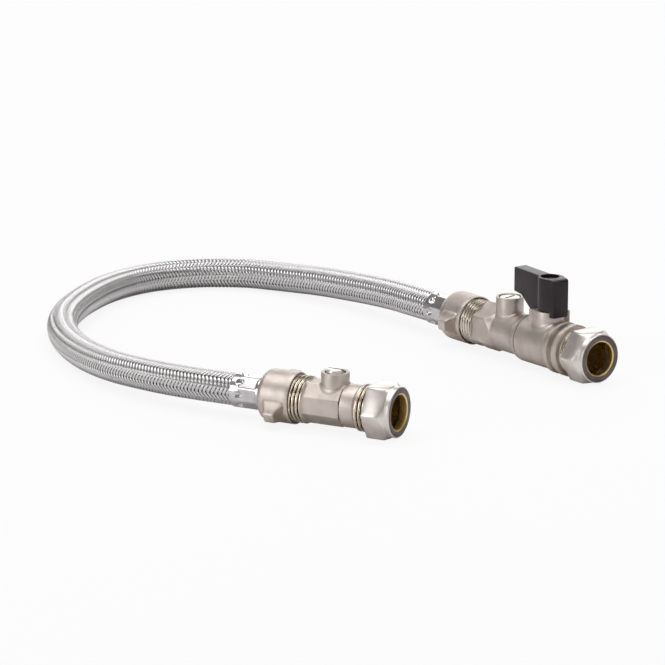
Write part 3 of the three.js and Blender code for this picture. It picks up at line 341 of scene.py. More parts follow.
# Painted shade on the lugs' front flanks and in the lever collar's groove
LUG_FLANK = Metal("lug_flank", (0.40, 0.33, 0.27), (0.30, 0.24, 0.19), (0.4, 0.5), grain=0.04)
BORE_BRASS = Metal("bore_brass", (0.90, 0.69, 0.30), (0.74, 0.54, 0.21), (0.34, 0.46), lines=0.03)
SOCKET_BRASS = Metal("socket_brass", (0.62, 0.49, 0.31), (0.42, 0.33, 0.20), (0.34, 0.46),
                     lines=0.03)
BARE_BRASS = Metal("bare_brass", (0.66, 0.49, 0.19), (0.50, 0.36, 0.13), (0.22, 0.32),
                   lines=0.03)
BRIGHT_STEEL = Metal("bright_steel", (0.68, 0.655, 0.665), (0.56, 0.54, 0.55), (0.11, 0.18),
                     grain=0.012)
DARK_STEEL = Metal("blackened_steel", (0.09, 0.085, 0.09), (0.05, 0.045, 0.05), (0.35, 0.5))
CHROMED = Metal("chromed", (0.80, 0.80, 0.81), (0.76, 0.76, 0.77), (0.04, 0.08))
BLACK_HANDLE = Moulding("black_handle", (0.014, 0.006, 0.010), (0.022, 0.012, 0.018),
                        (0.28, 0.38), grain=0.04, shine=0.38, dust=0.3)
WHITE_MOULDING = Moulding("white_moulding", (0.80, 0.78, 0.72), (0.86, 0.84, 0.80), (0.4, 0.5))
SEAT_PLASTIC = Moulding("seat_plastic", (0.84, 0.83, 0.80), (0.88, 0.87, 0.85), (0.35, 0.5))
BLACK_RUBBER = Moulding("black_rubber", (0.012, 0.012, 0.013), (0.02, 0.02, 0.02), (0.5, 0.65))
FIBRE_WASHER = Moulding("fibre_washer", (0.03, 0.045, 0.04), (0.05, 0.065, 0.06), (0.7, 0.85),
                        grain=0.1)
LINER_RUBBER = Moulding("liner_rubber", (0.018, 0.017, 0.018), (0.03, 0.029, 0.03), (0.5, 0.6))
# Its second colour is painted shade between the wires
BRAID_WIRE = Wire("braid_wire", (0.76, 0.745, 0.75), (0.48, 0.465, 0.47), (0.17, 0.26))
VALVE_FINISHES = (CAST_NICKEL, SOCKET_BRASS, THREAD_NICKEL, THREAD_GROOVE, LUG_FLANK)


# Meshes


@dataclass
class Shape:
    """A mesh in millimetres: points, faces, the finish of each face and UVs per corner."""

    points: np.ndarray
    faces: list[tuple[int, ...]]
    finish: list[int]
    corners: list[Point] = field(default_factory=list)

    def moved(self, matrix: Matrix) -> "Shape":
        """Return a copy with its points taken through a matrix."""
        points = self.points @ np.array(matrix.to_3x3()).T + np.array(matrix.translation)
        return Shape(points, self.faces, self.finish, self.corners)

    def joined(self, other: "Shape") -> "Shape":
        """Return this shape and another one as a single mesh.

        Args:
            other: Shape to add; where it has no UVs, they are 0.

        Returns:
            The joined shape.
        """
        start = len(self.points)
        faces = self.faces + [tuple(i + start for i in face) for face in other.faces]
        corners = other.corners or [(0.0, 0.0)] * sum(len(face) for face in other.faces)
        return Shape(np.vstack([self.points, other.points]), faces,
                     self.finish + other.finish, self.corners + corners)

    def capped(self, count: int) -> "Shape":
        """Return a shape made by grid with its first and last rings closed.

        Args:
            count: Points in a ring.

        Returns:
            The closed shape.
        """
        depth = len(self.points) // count
        first = tuple(j * depth for j in range(count))
        last = tuple(i + depth - 1 for i in first)
        return Shape(self.points, self.faces + [first[::-1], last],
                     self.finish + [0, 0], self.corners + [(0.0, 0.0)] * 2 * count)

    def middles(self) -> tuple[np.ndarray, np.ndarray]:
        """Return the station and the radius of the middle of each four-sided face."""
        middle = self.points[np.array(self.faces)].mean(axis=1)
        return middle[:, 0], np.hypot(middle[:, 1], middle[:, 2])


@dataclass(frozen=True)
class Placement:
    """Where a valve stands on the bench."""

    face: Point
    height: float
    turn: float

    def matrix(self) -> Matrix:
        """Return the matrix from the valve's own frame to the row frame, in millimetres."""
        place = Matrix.Translation((*self.face, self.height))
        return place @ Matrix.Rotation(math.pi - math.radians(self.turn), 4, "Z")


def at_station(station: float, turn: float = 0.0) -> Matrix:
    """Return the matrix that turns about the vertical, in degrees, and moves to a station."""
    return Matrix.Translation((station, 0, 0)) @ Matrix.Rotation(math.radians(turn), 4, "Z")


def grid(columns: np.ndarray, u: np.ndarray, closed: bool = False) -> Shape:
    """Turn columns of points, which stand in a ring, into a mesh.

    Args:
        columns: Points as columns, rows, 3.
        u: U of each row.
        closed: True if the last row joins the first one.

    Returns:
        The mesh, whose faces go column by column.
    """
    count, depth = columns.shape[:2]
    faces, corners = [], []
    for j in range(count):
        k = (j + 1) % count
        v, w = j / count, (j + 1) / count
        for i in range(depth if closed else depth - 1):
            m = (i + 1) % depth
            faces.append((j * depth + i, j * depth + m, k * depth + m, k * depth + i))
            corners += [(u[i], v), (u[m], v), (u[m], w), (u[i], w)]
    return Shape(columns.reshape(-1, 3), faces, [0] * len(faces), corners)


def revolve(profile: Profile, angles: np.ndarray, inner: int = 0) -> Shape:
    """Sweep a closed profile round the flow axis.

    Args:
        profile: Gives the station and radius of each point at an angle from the top.
        angles: Angles to sample.
        inner: How many of the last rows have the second finish.

    Returns:
        The mesh.
    """
    columns = np.array([[(x, r * math.sin(a), r * math.cos(a)) for x, r in profile(a)]
                        for a in angles])
    shape = grid(columns, columns[0, :, 0] / UV_SCALE, True)
    shape.finish = ([0] * (columns.shape[1] - inner) + [1] * inner) * len(angles)
    return shape


def even_angles(count: int) -> np.ndarray:
    """Return evenly spaced angles round a circle."""
    return np.linspace(0, TURN, count, endpoint=False)


def flat_angles(count: int, flats: int, facing: Facing, ease: float = 1.1) -> np.ndarray:
    """Return angles round a bar with flats, with extra ones at each corner.

    Args:
        count: Even angles.
        flats: Flats round the bar.
        facing: What it has at its top line.
        ease: Degrees from a corner to the angles beside it.

    Returns:
        The angles.
    """
    corners = [TURN * (i + facing.value) / flats for i in range(flats)]
    near = [c + math.radians(side * ease) for c in corners for side in (-1, 1)]
    return np.array(sorted({round(a % TURN, 6) for a in [*even_angles(count), *corners, *near]}))


def off_flat(angle: float, flats: int, facing: Facing = Facing.FLAT) -> float:
    """Return the angle from the middle of the nearest flat."""
    step = TURN / flats
    return (angle - facing.value * step) % step - step / 2


def across_corner(across: float, flats: int) -> float:
    """Return the radius at a sharp corner of a bar with flats."""
    return across / 2 / math.cos(math.pi / flats)


def flat_radius(angle: float, flats: int, across: float, facing: Facing, blunt: float) -> float:
    """Return the radius of a bar with flats.

    Args:
        angle: Angle from the top.
        flats: Flats round the bar.
        across: Width across the flats.
        facing: What it has at its top line.
        blunt: How much its corners are taken down.

    Returns:
        The radius.
    """
    flat = across / 2 / math.cos(off_flat(angle, flats, facing))
    return min(flat, across_corner(across, flats) - blunt)


def edged(x: float, radius: float, edge: Edge) -> list[Point]:
    """Return the points of an edge, given as the distance from x and the drop of each one."""
    return [(x + along, radius - drop) for along, drop in edge]


def thread_rows(start: float, end: float, crest: float, angle: float,
                phase: float = 0.0) -> list[Point]:
    """Return the rows of an outside thread at an angle.

    Args:
        start: Station where the thread starts.
        end: Station where it ends.
        crest: Crest radius.
        angle: Angle from the top.
        phase: Shift of the crests, in turns.

    Returns:
        Station and radius of each row.
    """
    steps = round((end - start) / PITCH * ROWS_PER_PITCH)
    rows = []
    for i in range(steps + 1):
        x = start + (end - start) * i / steps
        off_groove = abs((x / PITCH - angle / TURN + phase) % 1 - 0.5) * 2
        depth = THREAD_DEPTH * min(1, max(0, (CREST_START - off_groove) / FLANK))
        fade = min(1, (x - start) / RUN_OUT, (end - x) / RUN_OUT)
        rows.append((x, crest - depth * (LEAST_DEPTH + (1 - LEAST_DEPTH) * fade)))
    return rows


def threaded(shape: Shape, start: float, end: float, crest: float) -> None:
    """Make a thread bright on its crests and paint shade into its groove.

    Args:
        shape: Swept shape, changed in place.
        start: Station where the thread starts.
        end: Station where it ends.
        crest: Crest radius.
    """
    margin = 0.1
    station, radius = shape.middles()
    inside = (station > start) & (station < end) & (radius > crest - THREAD_DEPTH - margin)
    finish = np.array(shape.finish)
    finish[inside] = Skin.CREST
    # Painted shade in the deeper part of the groove
    finish[inside & (radius < crest - GROOVE_SHARE * THREAD_DEPTH)] = Skin.GROOVE
    shape.finish = finish.tolist()


def softened(rows: list[Point], reach: float, steps: int = 3, most: float = 0.45) -> list[Point]:
    """Round every corner of an open profile.

    Args:
        rows: Station and radius of each point.
        reach: Distance from a corner at which its curve starts.
        steps: Points on each curve, less one.
        most: Largest share of a stretch that a curve takes.

    Returns:
        The rounded profile, which keeps its two ends.
    """
    result = [rows[0]]
    for before, corner, after in zip(rows, rows[1:], rows[2:]):
        ends = []
        for other in (before, after):
            cut = min(most, reach / math.dist(other, corner))
            ends.append([corner[n] + (other[n] - corner[n]) * cut for n in (0, 1)])
        for i in range(steps + 1):
            t = i / steps
            shares = ((1 - t) ** 2, 2 * t * (1 - t), t * t)
            places = (ends[0], corner, ends[1])
            result.append(tuple(sum(s * p[n] for s, p in zip(shares, places)) for n in (0, 1)))
    return result + [rows[-1]]


def upright(rings: list[Point], station: float, count: int, floor: Floor | None = None,
            buried: int = 0) -> Shape:
    """Sweep a profile round a vertical axis, closed at both ends.

    Args:
        rings: Radius and height of each ring, from the top centre outwards and down.
        station: Station of the axis.
        count: Sides.
        floor: Height of the surface that the piece grows out of, at x and y.
        buried: How many of the last rings take their height from that surface.

    Returns:
        The mesh.
    """
    columns = []
    for angle in even_angles(count)[::-1]:
        column = []
        for i, (radius, height) in enumerate(rings):
            x, y = radius * math.cos(angle), radius * math.sin(angle)
            grown = floor(x, y) if floor and i >= len(rings) - buried else 0.0
            column.append((station + x, y, height + grown))
        columns.append(column)
    points = np.array(columns)
    return grid(points, points[-1, :, 2] / UV_SCALE).capped(count)


def round_floor(radius: float) -> Floor:
    """Return the height of a round body's surface, as a function of x and y."""
    return lambda x, y: math.sqrt(max(radius * radius - y * y, 0.0))


def octagon_floor(across: float) -> Floor:
    """Return the height of an eight-sided body's surface, as a function of x and y."""
    half = across / 2 * math.tan(math.pi / 8)
    return lambda x, y: across / 2 - max(0.0, abs(y) - half)


@dataclass(frozen=True)
class Boss:
    """Upright boss with a hole in its top and a cast fillet where it leaves a body."""

    station: float
    radius: float
    top: float
    hole: float
    depth: float
    flare: float
    floor: Floor
    mouth: float = 0.18
    edge: Edge = ((-0.35, 0.0), (-0.1, 0.1), (0.0, 0.35))
    sunk: float = 0.02
    root: float = 1.6
    fillet_steps: int = 8
    sides: int = 96

    def shape(self) -> Shape:
        """Return the boss.

        Returns:
            Its mesh, in the valve's own frame.
        """
        hole, top = self.hole, self.top
        rings = [(hole / 2, top - self.depth), (hole, top - self.depth), (hole, top - self.mouth),
                 (hole + self.mouth, top), *((self.radius + out, top - drop) for out, drop in self.edge)]
        fillet = []
        for angle in np.linspace(0, math.pi / 2, self.fillet_steps + 1):
            fillet.append((self.radius + self.flare * (1 - math.cos(angle)),
                           self.flare * (1 - math.sin(angle)) - self.sunk))
        fillet.append((self.radius + self.flare, -self.root))
        return upright(rings + fillet, self.station, self.sides, self.floor, len(fillet))


def prism(outline: list[Point], low: float, high: float) -> Shape:
    """Extrude an outline in x and y.

    Args:
        outline: Its points.
        low: Height of the lower end.
        high: Height of the upper end.

    Returns:
        The mesh.
    """
    count = len(outline)
    points = [(x, y, z) for z in (low, high) for x, y in outline]
    faces = [tuple(range(count))[::-1], tuple(range(count, 2 * count))]
    faces += [(i, (i + 1) % count, (i + 1) % count + count, i + count) for i in range(count)]
    return Shape(np.array(points, float), faces, [0] * len(faces))


def circle(radius: float, count: int = 64) -> list[Point]:
    """Return the outline of a circle round the origin."""
    return [(radius * math.cos(a), radius * math.sin(a)) for a in even_angles(count)]


def rectangle(low: Point, high: Point) -> list[Point]:
    """Return the outline of a rectangle from its low corner to its high corner."""
    return [low, (high[0], low[1]), high, (low[0], high[1])]


def bar(half_length: float, half_width: float, low: float, high: float) -> Shape:
    """Return an upright block round the origin."""
    return prism(rectangle((-half_length, -half_width), (half_length, half_width)), low, high)


# Pieces in the scene


def linked(name: str, data: bpy.types.ID) -> bpy.types.Object:
    """Put a mesh, camera or lamp in the scene.

    Args:
        name: Name of the object.
        data: What it shows.

    Returns:
        The object.
    """
    made = bpy.data.objects.new(name, data)
    bpy.context.scene.collection.objects.link(made)
    return made


def turn_out(mesh: bpy.types.Mesh) -> None:
    """Turn the faces of a mesh outwards.

    Args:
        mesh: Mesh to change.
    """
    work = bmesh.new()
    work.from_mesh(mesh)
    bmesh.ops.recalc_face_normals(work, faces=work.faces)
    work.to_mesh(mesh)
    work.free()


def temporary(shape: Shape) -> bpy.types.Object:
    """Make a scene object for a boolean.

    Args:
        shape: Its shape, in millimetres.

    Returns:
        The object.
    """
    mesh = bpy.data.meshes.new("work")
    mesh.from_pydata(shape.points.tolist(), [], shape.faces)
    turn_out(mesh)
    return linked("work", mesh)


def round_edges(body: bpy.types.Object, width: float, steps: int) -> None:
    """Add the modifiers that clean up after booleans and round the edges.

    Args:
        body: Object to change.
        width: Width of the rounding.
        steps: Segments of the rounding.
    """
    body.modifiers.new("weld", "WELD").merge_threshold = 0.01
    planar = body.modifiers.new("planar", "DECIMATE")
    planar.decimate_type = "DISSOLVE"
    planar.angle_limit = math.radians(1)
    bevel = body.modifiers.new("round", "BEVEL")
    bevel.width = width
    bevel.segments = steps
    bevel.limit_method = "ANGLE"
    bevel.angle_limit = math.radians(28)


def carved(shape: Shape, cutters: list[tuple[str, Shape]], edge: float = 0.0,
           steps: int = 3) -> Shape:
    """Cut, join or keep the overlap with other shapes, and round the edges.

    Args:
        shape: Shape to start from.
        cutters: Operation, as the boolean modifier names it, and the other shape.
        edge: Width of the rounding, or 0 for none.
        steps: Segments of the rounding.

    Returns:
        The new shape.
    """
    body = temporary(shape)
    others = []
    for operation, cutter in cutters:
        modifier = body.modifiers.new("carve", "BOOLEAN")
        modifier.operation = operation
        modifier.solver = "EXACT"
        modifier.object = temporary(cutter)
        others.append(modifier.object)
    if edge:
        round_edges(body, edge, steps)
    made = body.evaluated_get(bpy.context.evaluated_depsgraph_get()).to_mesh()
    points = np.array([v.co[:] for v in made.vertices])
    faces = [tuple(p.vertices) for p in made.polygons]
    body.to_mesh_clear()
    for piece in [body, *others]:
        bpy.data.objects.remove(piece)
    return Shape(points, faces, [0] * len(faces))


@dataclass(frozen=True)
class Ride:
    """What a piece carries: its body, its slot and the node it stands for."""

    body: str
    slot: str
    node: str | None = None


def build(name: str, shape: Shape, finishes: Sequence[Finish], ride: Ride,
          matrix: Matrix | None = None, tidy: bool = True) -> bpy.types.Object:
    """Make a piece of the object from a shape.

    Args:
        name: Name of the piece.
        shape: Its mesh, in millimetres.
        finishes: Finishes, in the order of the shape's finish numbers.
        ride: Its body, its slot and the node it stands for.
        matrix: Takes the shape to the row frame, or None if it is there.
        tidy: False for a mesh whose faces already point out.

    Returns:
        The object.
    """
    placed = shape.moved(matrix) if matrix else shape
    mesh = bpy.data.meshes.new(name)
    mesh.from_pydata((placed.points * MM).tolist(), [], placed.faces)
    for finish in finishes:
        mesh.materials.append(finish.material())
    mesh.polygons.foreach_set("material_index", placed.finish)
    if placed.corners:
        layer = mesh.uv_layers.new(name="surface")
        layer.data.foreach_set("uv", np.array(placed.corners, np.float32).ravel())
    if tidy:
        turn_out(mesh)
    mesh.shade_smooth()
    mesh.set_sharp_from_angle(angle=SMOOTH_LIMIT)
    piece = linked(name, mesh)
    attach(piece, ride.body)
    if ride.node:
        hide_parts(ride.node)
    log.info("%s: %d faces", name, len(mesh.polygons))
    return piece


@dataclass(frozen=True)
class Assembly:
    """Sub-assembly of a valve, drawn in that valve's own frame."""

    placement: Placement

    def show(self, name: str, shape: Shape, finishes: Sequence[Finish], body: str = "loop",
             slot: str = "nickel_body") -> None:
        """Build a piece that stands for the node of its own name."""
        build(name, shape, finishes, Ride(body, slot, name), self.placement.matrix())


# Pieces that both valves have


@dataclass(frozen=True)
class CompressionNut(Assembly):
    """Hexagon nut with a round collar, chamfered corners and a bare bore."""

    name: str
    body: str
    across: float = 23.0
    blunt: float = 0.22
    length: float = 12.6
    collar_radius: float = 11.2
    collar_length: float = 2.6
    chamfer: float = 2.2
    bore: float = 7.7
    mouth: float = 0.5
    end_wall: float = 3.4
    cone: float = 1.8
    thread_radius: float = 10.8
    face_edge: Edge = ((0.0, 0.45), (0.1, 0.2), (0.3, 0.04), (0.6, 0.0))
    back_edge: Edge = ((-0.5, 0.0), (-0.15, 0.15), (0.0, 0.5))
    step: float = 0.12
    face_rows: int = 2
    brass_rows: int = 4

    def profile(self, angle: float) -> list[Point]:
        """Return the closed profile of the nut.

        Args:
            angle: Angle from the top.

        Returns:
            Station and radius of each point.
        """
        flat = flat_radius(angle, 6, self.across, Facing.FLAT, self.blunt)
        rim, bore, mouth, inside = self.collar_radius, self.bore, self.mouth, self.thread_radius
        share = (flat - rim) / (across_corner(self.across, 6) - rim)
        shoulder = self.collar_length + share * self.chamfer
        return [
            (0.06, bore + mouth + 0.1), (0.0, bore + mouth + 0.25), *edged(0.0, rim, self.face_edge),
            (self.collar_length - self.step, rim), (self.collar_length + 0.1, rim + 0.08),
            (shoulder - self.step, flat - 0.1), (shoulder + self.step, flat),
            *edged(self.length, flat, self.back_edge), (self.length, inside + 0.2),
            (self.length - 0.3, inside), (self.end_wall + self.cone, inside),
            (self.end_wall, bore), (mouth + 0.1, bore), (mouth - 0.1, bore + 0.05)]

    def make(self) -> None:
        """Build the nut, with painted shade on its end face and brass showing in its bore."""
        shape = revolve(self.profile, flat_angles(120, 6, Facing.FLAT))
        plain = len(self.profile(0.0)) - self.face_rows - self.brass_rows
        # The end face rows get painted shade, and the bore rows get brass
        bands = [1] * self.face_rows + [0] * plain + [2] * self.brass_rows
        shape.finish = bands * (len(shape.faces) // len(bands))
        self.show(self.name, shape, (TURNED_NICKEL, FACE_NICKEL, BORE_BRASS), self.body,
                  "nickel_nut")


@dataclass(frozen=True)
class PipeEnd:
    """Stations that the compression joint gives to a valve body."""

    start: float = 7.0
    socket_depth: float = 13.0
    socket_radius: float = 7.7
    stop: float = 1.4
    cone_length: float = 3.5
    cone_opening: float = 2.1
    crest: float = 10.45
    chamfer: float = 0.8
    hidden: float = 4.2

    def outside(self, end: float, angle: float) -> list[Point]:
        """Return the outside rows, plain under the nut and threaded behind it."""
        return [(self.start, self.crest - self.chamfer), (self.start + self.chamfer, self.crest),
                *thread_rows(self.start + self.hidden, end, self.crest, angle)]

    def inside(self, port: float, end: float) -> list[Point]:
        """Return the inside rows, from the port at a station back out to the olive's cone.

        Args:
            port: Radius of the port.
            end: Station where the port starts.

        Returns:
            Station and radius of each row.
        """
        floor, wall = self.start + self.socket_depth, self.socket_radius
        return [(end, port), (floor + self.stop, port), (floor, wall - self.stop), (floor, wall),
                (self.start + self.cone_length, wall), (self.start, wall + self.cone_opening)]

    def dress(self, shape: Shape, end: float) -> None:
        """Give the thread behind the nut its finishes."""
        threaded(shape, self.start + 1, end, self.crest)


@dataclass(frozen=True)
class HoseUnion(Assembly):
    """Wing nut and crimped ferrule behind a valve's hose thread."""

    name: str
    body: str
    thread_end: float
    lug_tilt: float
    grip: float = 6.6
    radius: float = 11.5
    rim_edge: Edge = ((0.0, 0.3), (0.1, 0.1), (0.35, 0.0), (2.6, 0.0))
    bore: float = 10.85
    floor: float = 4.2
    dome_start: float = 6.0
    dome_end: float = 9.2
    dome_radius: float = 8.8
    dome_steps: int = 14
    hole: float = 5.6
    lug_squareness: float = 0.3
    lug_steps: int = 40
    # Shares of the way round the lug between which its front flank gets painted shade
    lug_flank: Point = (0.38, 0.62)
    ferrule_length: float = 14.6
    ferrule_radius: float = 7.6
    ferrule_edge: Edge = ((0.0, 0.5), (0.12, 0.2), (0.45, 0.0))
    ferrule_end: float = 0.6
    ferrule_steps: int = 56
    flats: int = 8
    crimp: float = 14.3
    crimp_start: float = 1.4
    crimp_end: float = 10.0
    crimp_lead: Point = (0.7, 0.5)
    dimple_offset: float = 0.2
    dimple_radius: float = 1.75
    dimple_depth: float = 1.15
    hose_seat: float = 7.28
    hose_depth: float = 2.7

    def ring(self, angle: float) -> list[Point]:
        """Return the closed profile of the round nut, which is the same at every angle.

        Args:
            angle: Angle from the top, which is not used.

        Returns:
            Station and radius of each point.
        """
        rim, end, r = -self.grip, self.dome_end, self.radius
        rows = [(rim + 0.05, self.bore + 0.1), (rim, self.bore + 0.2),
                *edged(rim, r, self.rim_edge), (self.dome_start - 1, r)]
        for t in np.linspace(0, math.pi / 2, self.dome_steps + 1):
            rows.append((self.dome_start + (end - self.dome_start) * math.sin(t),
                         self.dome_radius + (r - self.dome_radius) * math.cos(t)))
        return rows + [(end, self.hole + 0.15), (end - 0.15, self.hole), (self.floor, self.hole),
                       (self.floor, self.bore - 0.05), (rim + 0.5, self.bore)]

    def lug(self) -> Shape:
        """Return one cast lug, lofted from a wide root to a narrow rounded tip.

        Returns:
            The lug on top of the nut, with painted shade on its front flank as the second finish.
        """
        # Radius, front edge and back edge behind the rim, and half width of each section
        sections = [(7.6, 0.8, 13.6, 6.8), (9.6, 1.0, 12.9, 6.2), (10.9, 1.4, 11.9, 5.3),
                    (11.4, 2.1, 11.6, 4.8), (12.0, 2.95, 11.3, 4.2), (12.8, 3.85, 11.0, 3.6),
                    (13.6, 4.35, 10.8, 3.1), (14.4, 4.8, 10.7, 2.7), (14.9, 5.05, 10.5, 2.45),
                    (15.2, 5.4, 10.2, 2.05)]
        columns = []
        for t in even_angles(self.lug_steps):
            u, v = (math.copysign(abs(side) ** self.lug_squareness, side)
                    for side in (math.cos(t), math.sin(t)))
            columns.append([((front + back) / 2 + (back - front) / 2 * u - self.grip, r, half * v)
                            for r, front, back, half in sections])
        points = np.array(columns)
        shape = grid(points, points[0, :, 1] / UV_SCALE)
        bands = len(sections) - 1
        first, last = (int(self.lug_steps * share) for share in self.lug_flank)
        # Front flank faces get painted shade
        shape.finish = [int(first <= i // bands < last and i % bands > 1)
                        for i in range(len(shape.faces))]
        return shape.capped(self.lug_steps)

    def pressed(self, run: float) -> float:
        """Return how far the crimp is pressed in.

        Args:
            run: Distance from the ferrule's start.

        Returns:
            A share from 0 to 1.
        """
        into = (run - self.crimp_start) / self.crimp_lead[0]
        out = (self.crimp_end - run) / self.crimp_lead[1] + 0.5
        share = min(1.0, max(0.0, min(into, out)))
        return share * share * (3 - 2 * share)

    def sleeve(self, angle: float) -> list[Point]:
        """Return the closed profile of the crimped ferrule.

        Args:
            angle: Angle from the top.

        Returns:
            Station and radius of each point.
        """
        start, r, seat = self.dome_end + 0.3, self.ferrule_radius, self.hose_seat
        end = start + self.ferrule_length
        local = off_flat(angle, self.flats)
        flat = min(r, self.crimp / 2 / math.cos(local))
        rows = [(start, self.hole + 0.1), *edged(start, r, self.ferrule_edge)]
        for run in np.linspace(self.ferrule_end, self.ferrule_length - self.ferrule_end,
                               self.ferrule_steps + 1):
            along = run - self.crimp_end - self.dimple_offset
            away = math.hypot(along, local * r) / self.dimple_radius
            dimple = self.dimple_depth * max(0.0, 1 - away ** 2)
            rows.append((start + run, r + (flat - r) * self.pressed(run) - dimple))
        return rows + [(end - 0.35, r), (end - 0.08, r - 0.1), (end, seat + 0.1),
                       (end - 0.1, seat), (end - self.hose_depth, seat),
                       (end - self.hose_depth, self.hole)]

    def make(self) -> None:
        """Build the wing nut with its two lugs, and the ferrule."""
        nut = revolve(self.ring, even_angles(144))
        for side in (0.0, 180.0):
            turn = Matrix.Rotation(math.radians(side - self.lug_tilt), 4, "X")
            nut = nut.joined(self.lug().moved(turn))
        shift = at_station(self.thread_end)
        self.show(f"{self.name}_wing_nut", nut.moved(shift), (CAST_NICKEL, LUG_FLANK), self.body)
        self.show(f"{self.name}_ferrule", revolve(self.sleeve, even_angles(192)).moved(shift),
                  (BRIGHT_STEEL,), slot="stainless")


# Isolating valve


@dataclass(frozen=True)
class IsolatingValve(Assembly):
    """Isolating valve with a screwdriver-slotted spindle."""

    thread_end: float = 18.1
    thread_gap: float = 0.9
    seam: float = 25.0
    seam_half: float = 0.15
    barrel: float = 9.5
    spigot: float = 8.2
    mouth: float = 8.55
    flats: float = 18.2
    blunt: float = 0.06
    body_end: float = 43.1
    hose_end: float = 55.5
    hose_thread: float = 10.48
    hose_bore: float = 6.5
    hose_bore_depth: float = 6.0
    centre: float = 31.0
    boss_radius: float = 6.2
    boss_top: float = 14.4
    stem_radius: float = 4.05
    stem_top: float = 15.7
    flange_radius: float = 4.9
    flange_top: float = 8.5
    flange_low: float = 7.3
    slot_half: float = 0.6
    slot_depth: float = 1.4
    tang: Point3 = (1.2, 3.0, 5.2)
    port: float = 4.3
    pocket: float = 7.6
    seat_back: float = 7.2
    union_tilt: float = 27.0
    pipe: PipeEnd = PipeEnd()

    def end_piece(self, angle: float) -> list[Point]:
        """Return the closed profile of the end piece.

        Args:
            angle: Angle from the top.

        Returns:
            Station and radius of each point.
        """
        start, barrel = self.thread_end, self.barrel
        seat, edge = self.centre - self.seat_back, self.seam - self.seam_half
        return [*self.pipe.outside(start - self.thread_gap, angle),
                (start - 0.8, self.pipe.crest - 1.1), (start, barrel - 0.5),
                (start + 0.35, barrel - 0.1), (start + 0.7, barrel), (edge - 0.3, barrel),
                (edge - 0.05, barrel - 0.2), (edge, self.spigot + 0.1),
                (edge + 0.9, self.spigot), (edge + 0.9, self.pocket), (seat, self.pocket),
                *self.pipe.inside(self.port, seat)]

    def body(self, angle: float) -> list[Point]:
        """Return the closed profile of the eight-sided body and its hose thread.

        Args:
            angle: Angle from the top.

        Returns:
            Station and radius of each point.
        """
        flat = flat_radius(angle, 8, self.flats, Facing.FLAT, self.blunt)
        start, end, crest = self.seam + self.seam_half, self.body_end, self.hose_thread
        seat, floor = self.centre + self.seat_back, self.hose_end - self.hose_bore_depth
        return [(start, self.mouth), (start, flat - 0.4), (start + 0.1, flat - 0.12),
                (start + 0.4, flat), (end - 1.6, flat), (end - 0.9, flat + 0.1),
                (end - 0.3, (flat + crest) / 2), (end - 0.05, crest - 0.25),
                *thread_rows(end + 0.1, self.hose_end - 0.6, crest, angle, 0.3),
                (self.hose_end, crest - 0.9), (self.hose_end, self.hose_bore),
                (floor, self.hose_bore), (floor, self.port), (seat, self.port),
                (seat, self.pocket), (start + 0.8, self.pocket), (start + 0.8, self.mouth)]

    def stem(self) -> Shape:
        """Return the visible spindle with its screwdriver slot.

        Returns:
            Its mesh, in the valve's own frame.
        """
        top, r = self.stem_top, self.stem_radius
        neck = r - 0.25
        rings = [(r / 2, top), (r - 0.9, top), (r - 0.45, top - 0.08), (r - 0.15, top - 0.3),
                 (r, top - 0.7), (r, self.boss_top - 0.3), (neck, self.boss_top - 0.5),
                 (neck, self.flange_top), (self.flange_radius, self.flange_top),
                 (self.flange_radius, self.flange_low), (1.0, self.flange_low)]
        slot = bar(r + 1, self.slot_half, top - self.slot_depth, top + 1)
        half_length, half_width, low = self.tang
        tang = bar(half_length, half_width, low, self.flange_low + 0.2)
        shape = carved(upright(rings, 0.0, 64), [("DIFFERENCE", slot), ("UNION", tang)])
        return shape.moved(at_station(self.centre))

    def make(self) -> None:
        """Build the pieces of the valve that show."""
        CompressionNut(self.placement, "isolator_nut", "isolator_compression_nut").make()
        end_piece = revolve(self.end_piece, even_angles(120), 7)
        self.pipe.dress(end_piece, self.thread_end - self.thread_gap)
        self.show("isolator_end_piece", end_piece, VALVE_FINISHES)
        body = revolve(self.body, flat_angles(120, 8, Facing.FLAT, 0.8), 8)
        threaded(body, self.body_end + 0.1, self.hose_end - 0.2, self.hose_thread)
        boss = Boss(self.centre, self.boss_radius, self.boss_top, self.stem_radius + 0.6, 4.0, 1.2,
                    octagon_floor(self.flats))
        self.show("isolator_body", body.joined(boss.shape()), VALVE_FINISHES)
        self.show("isolator_stem", self.stem(), (TURNED_NICKEL,), "isolator_spindle")
        HoseUnion(self.placement, "isolator", "isolator_union_nut", self.hose_end,
                  self.union_tilt).make()


# Lever valve and check valve body


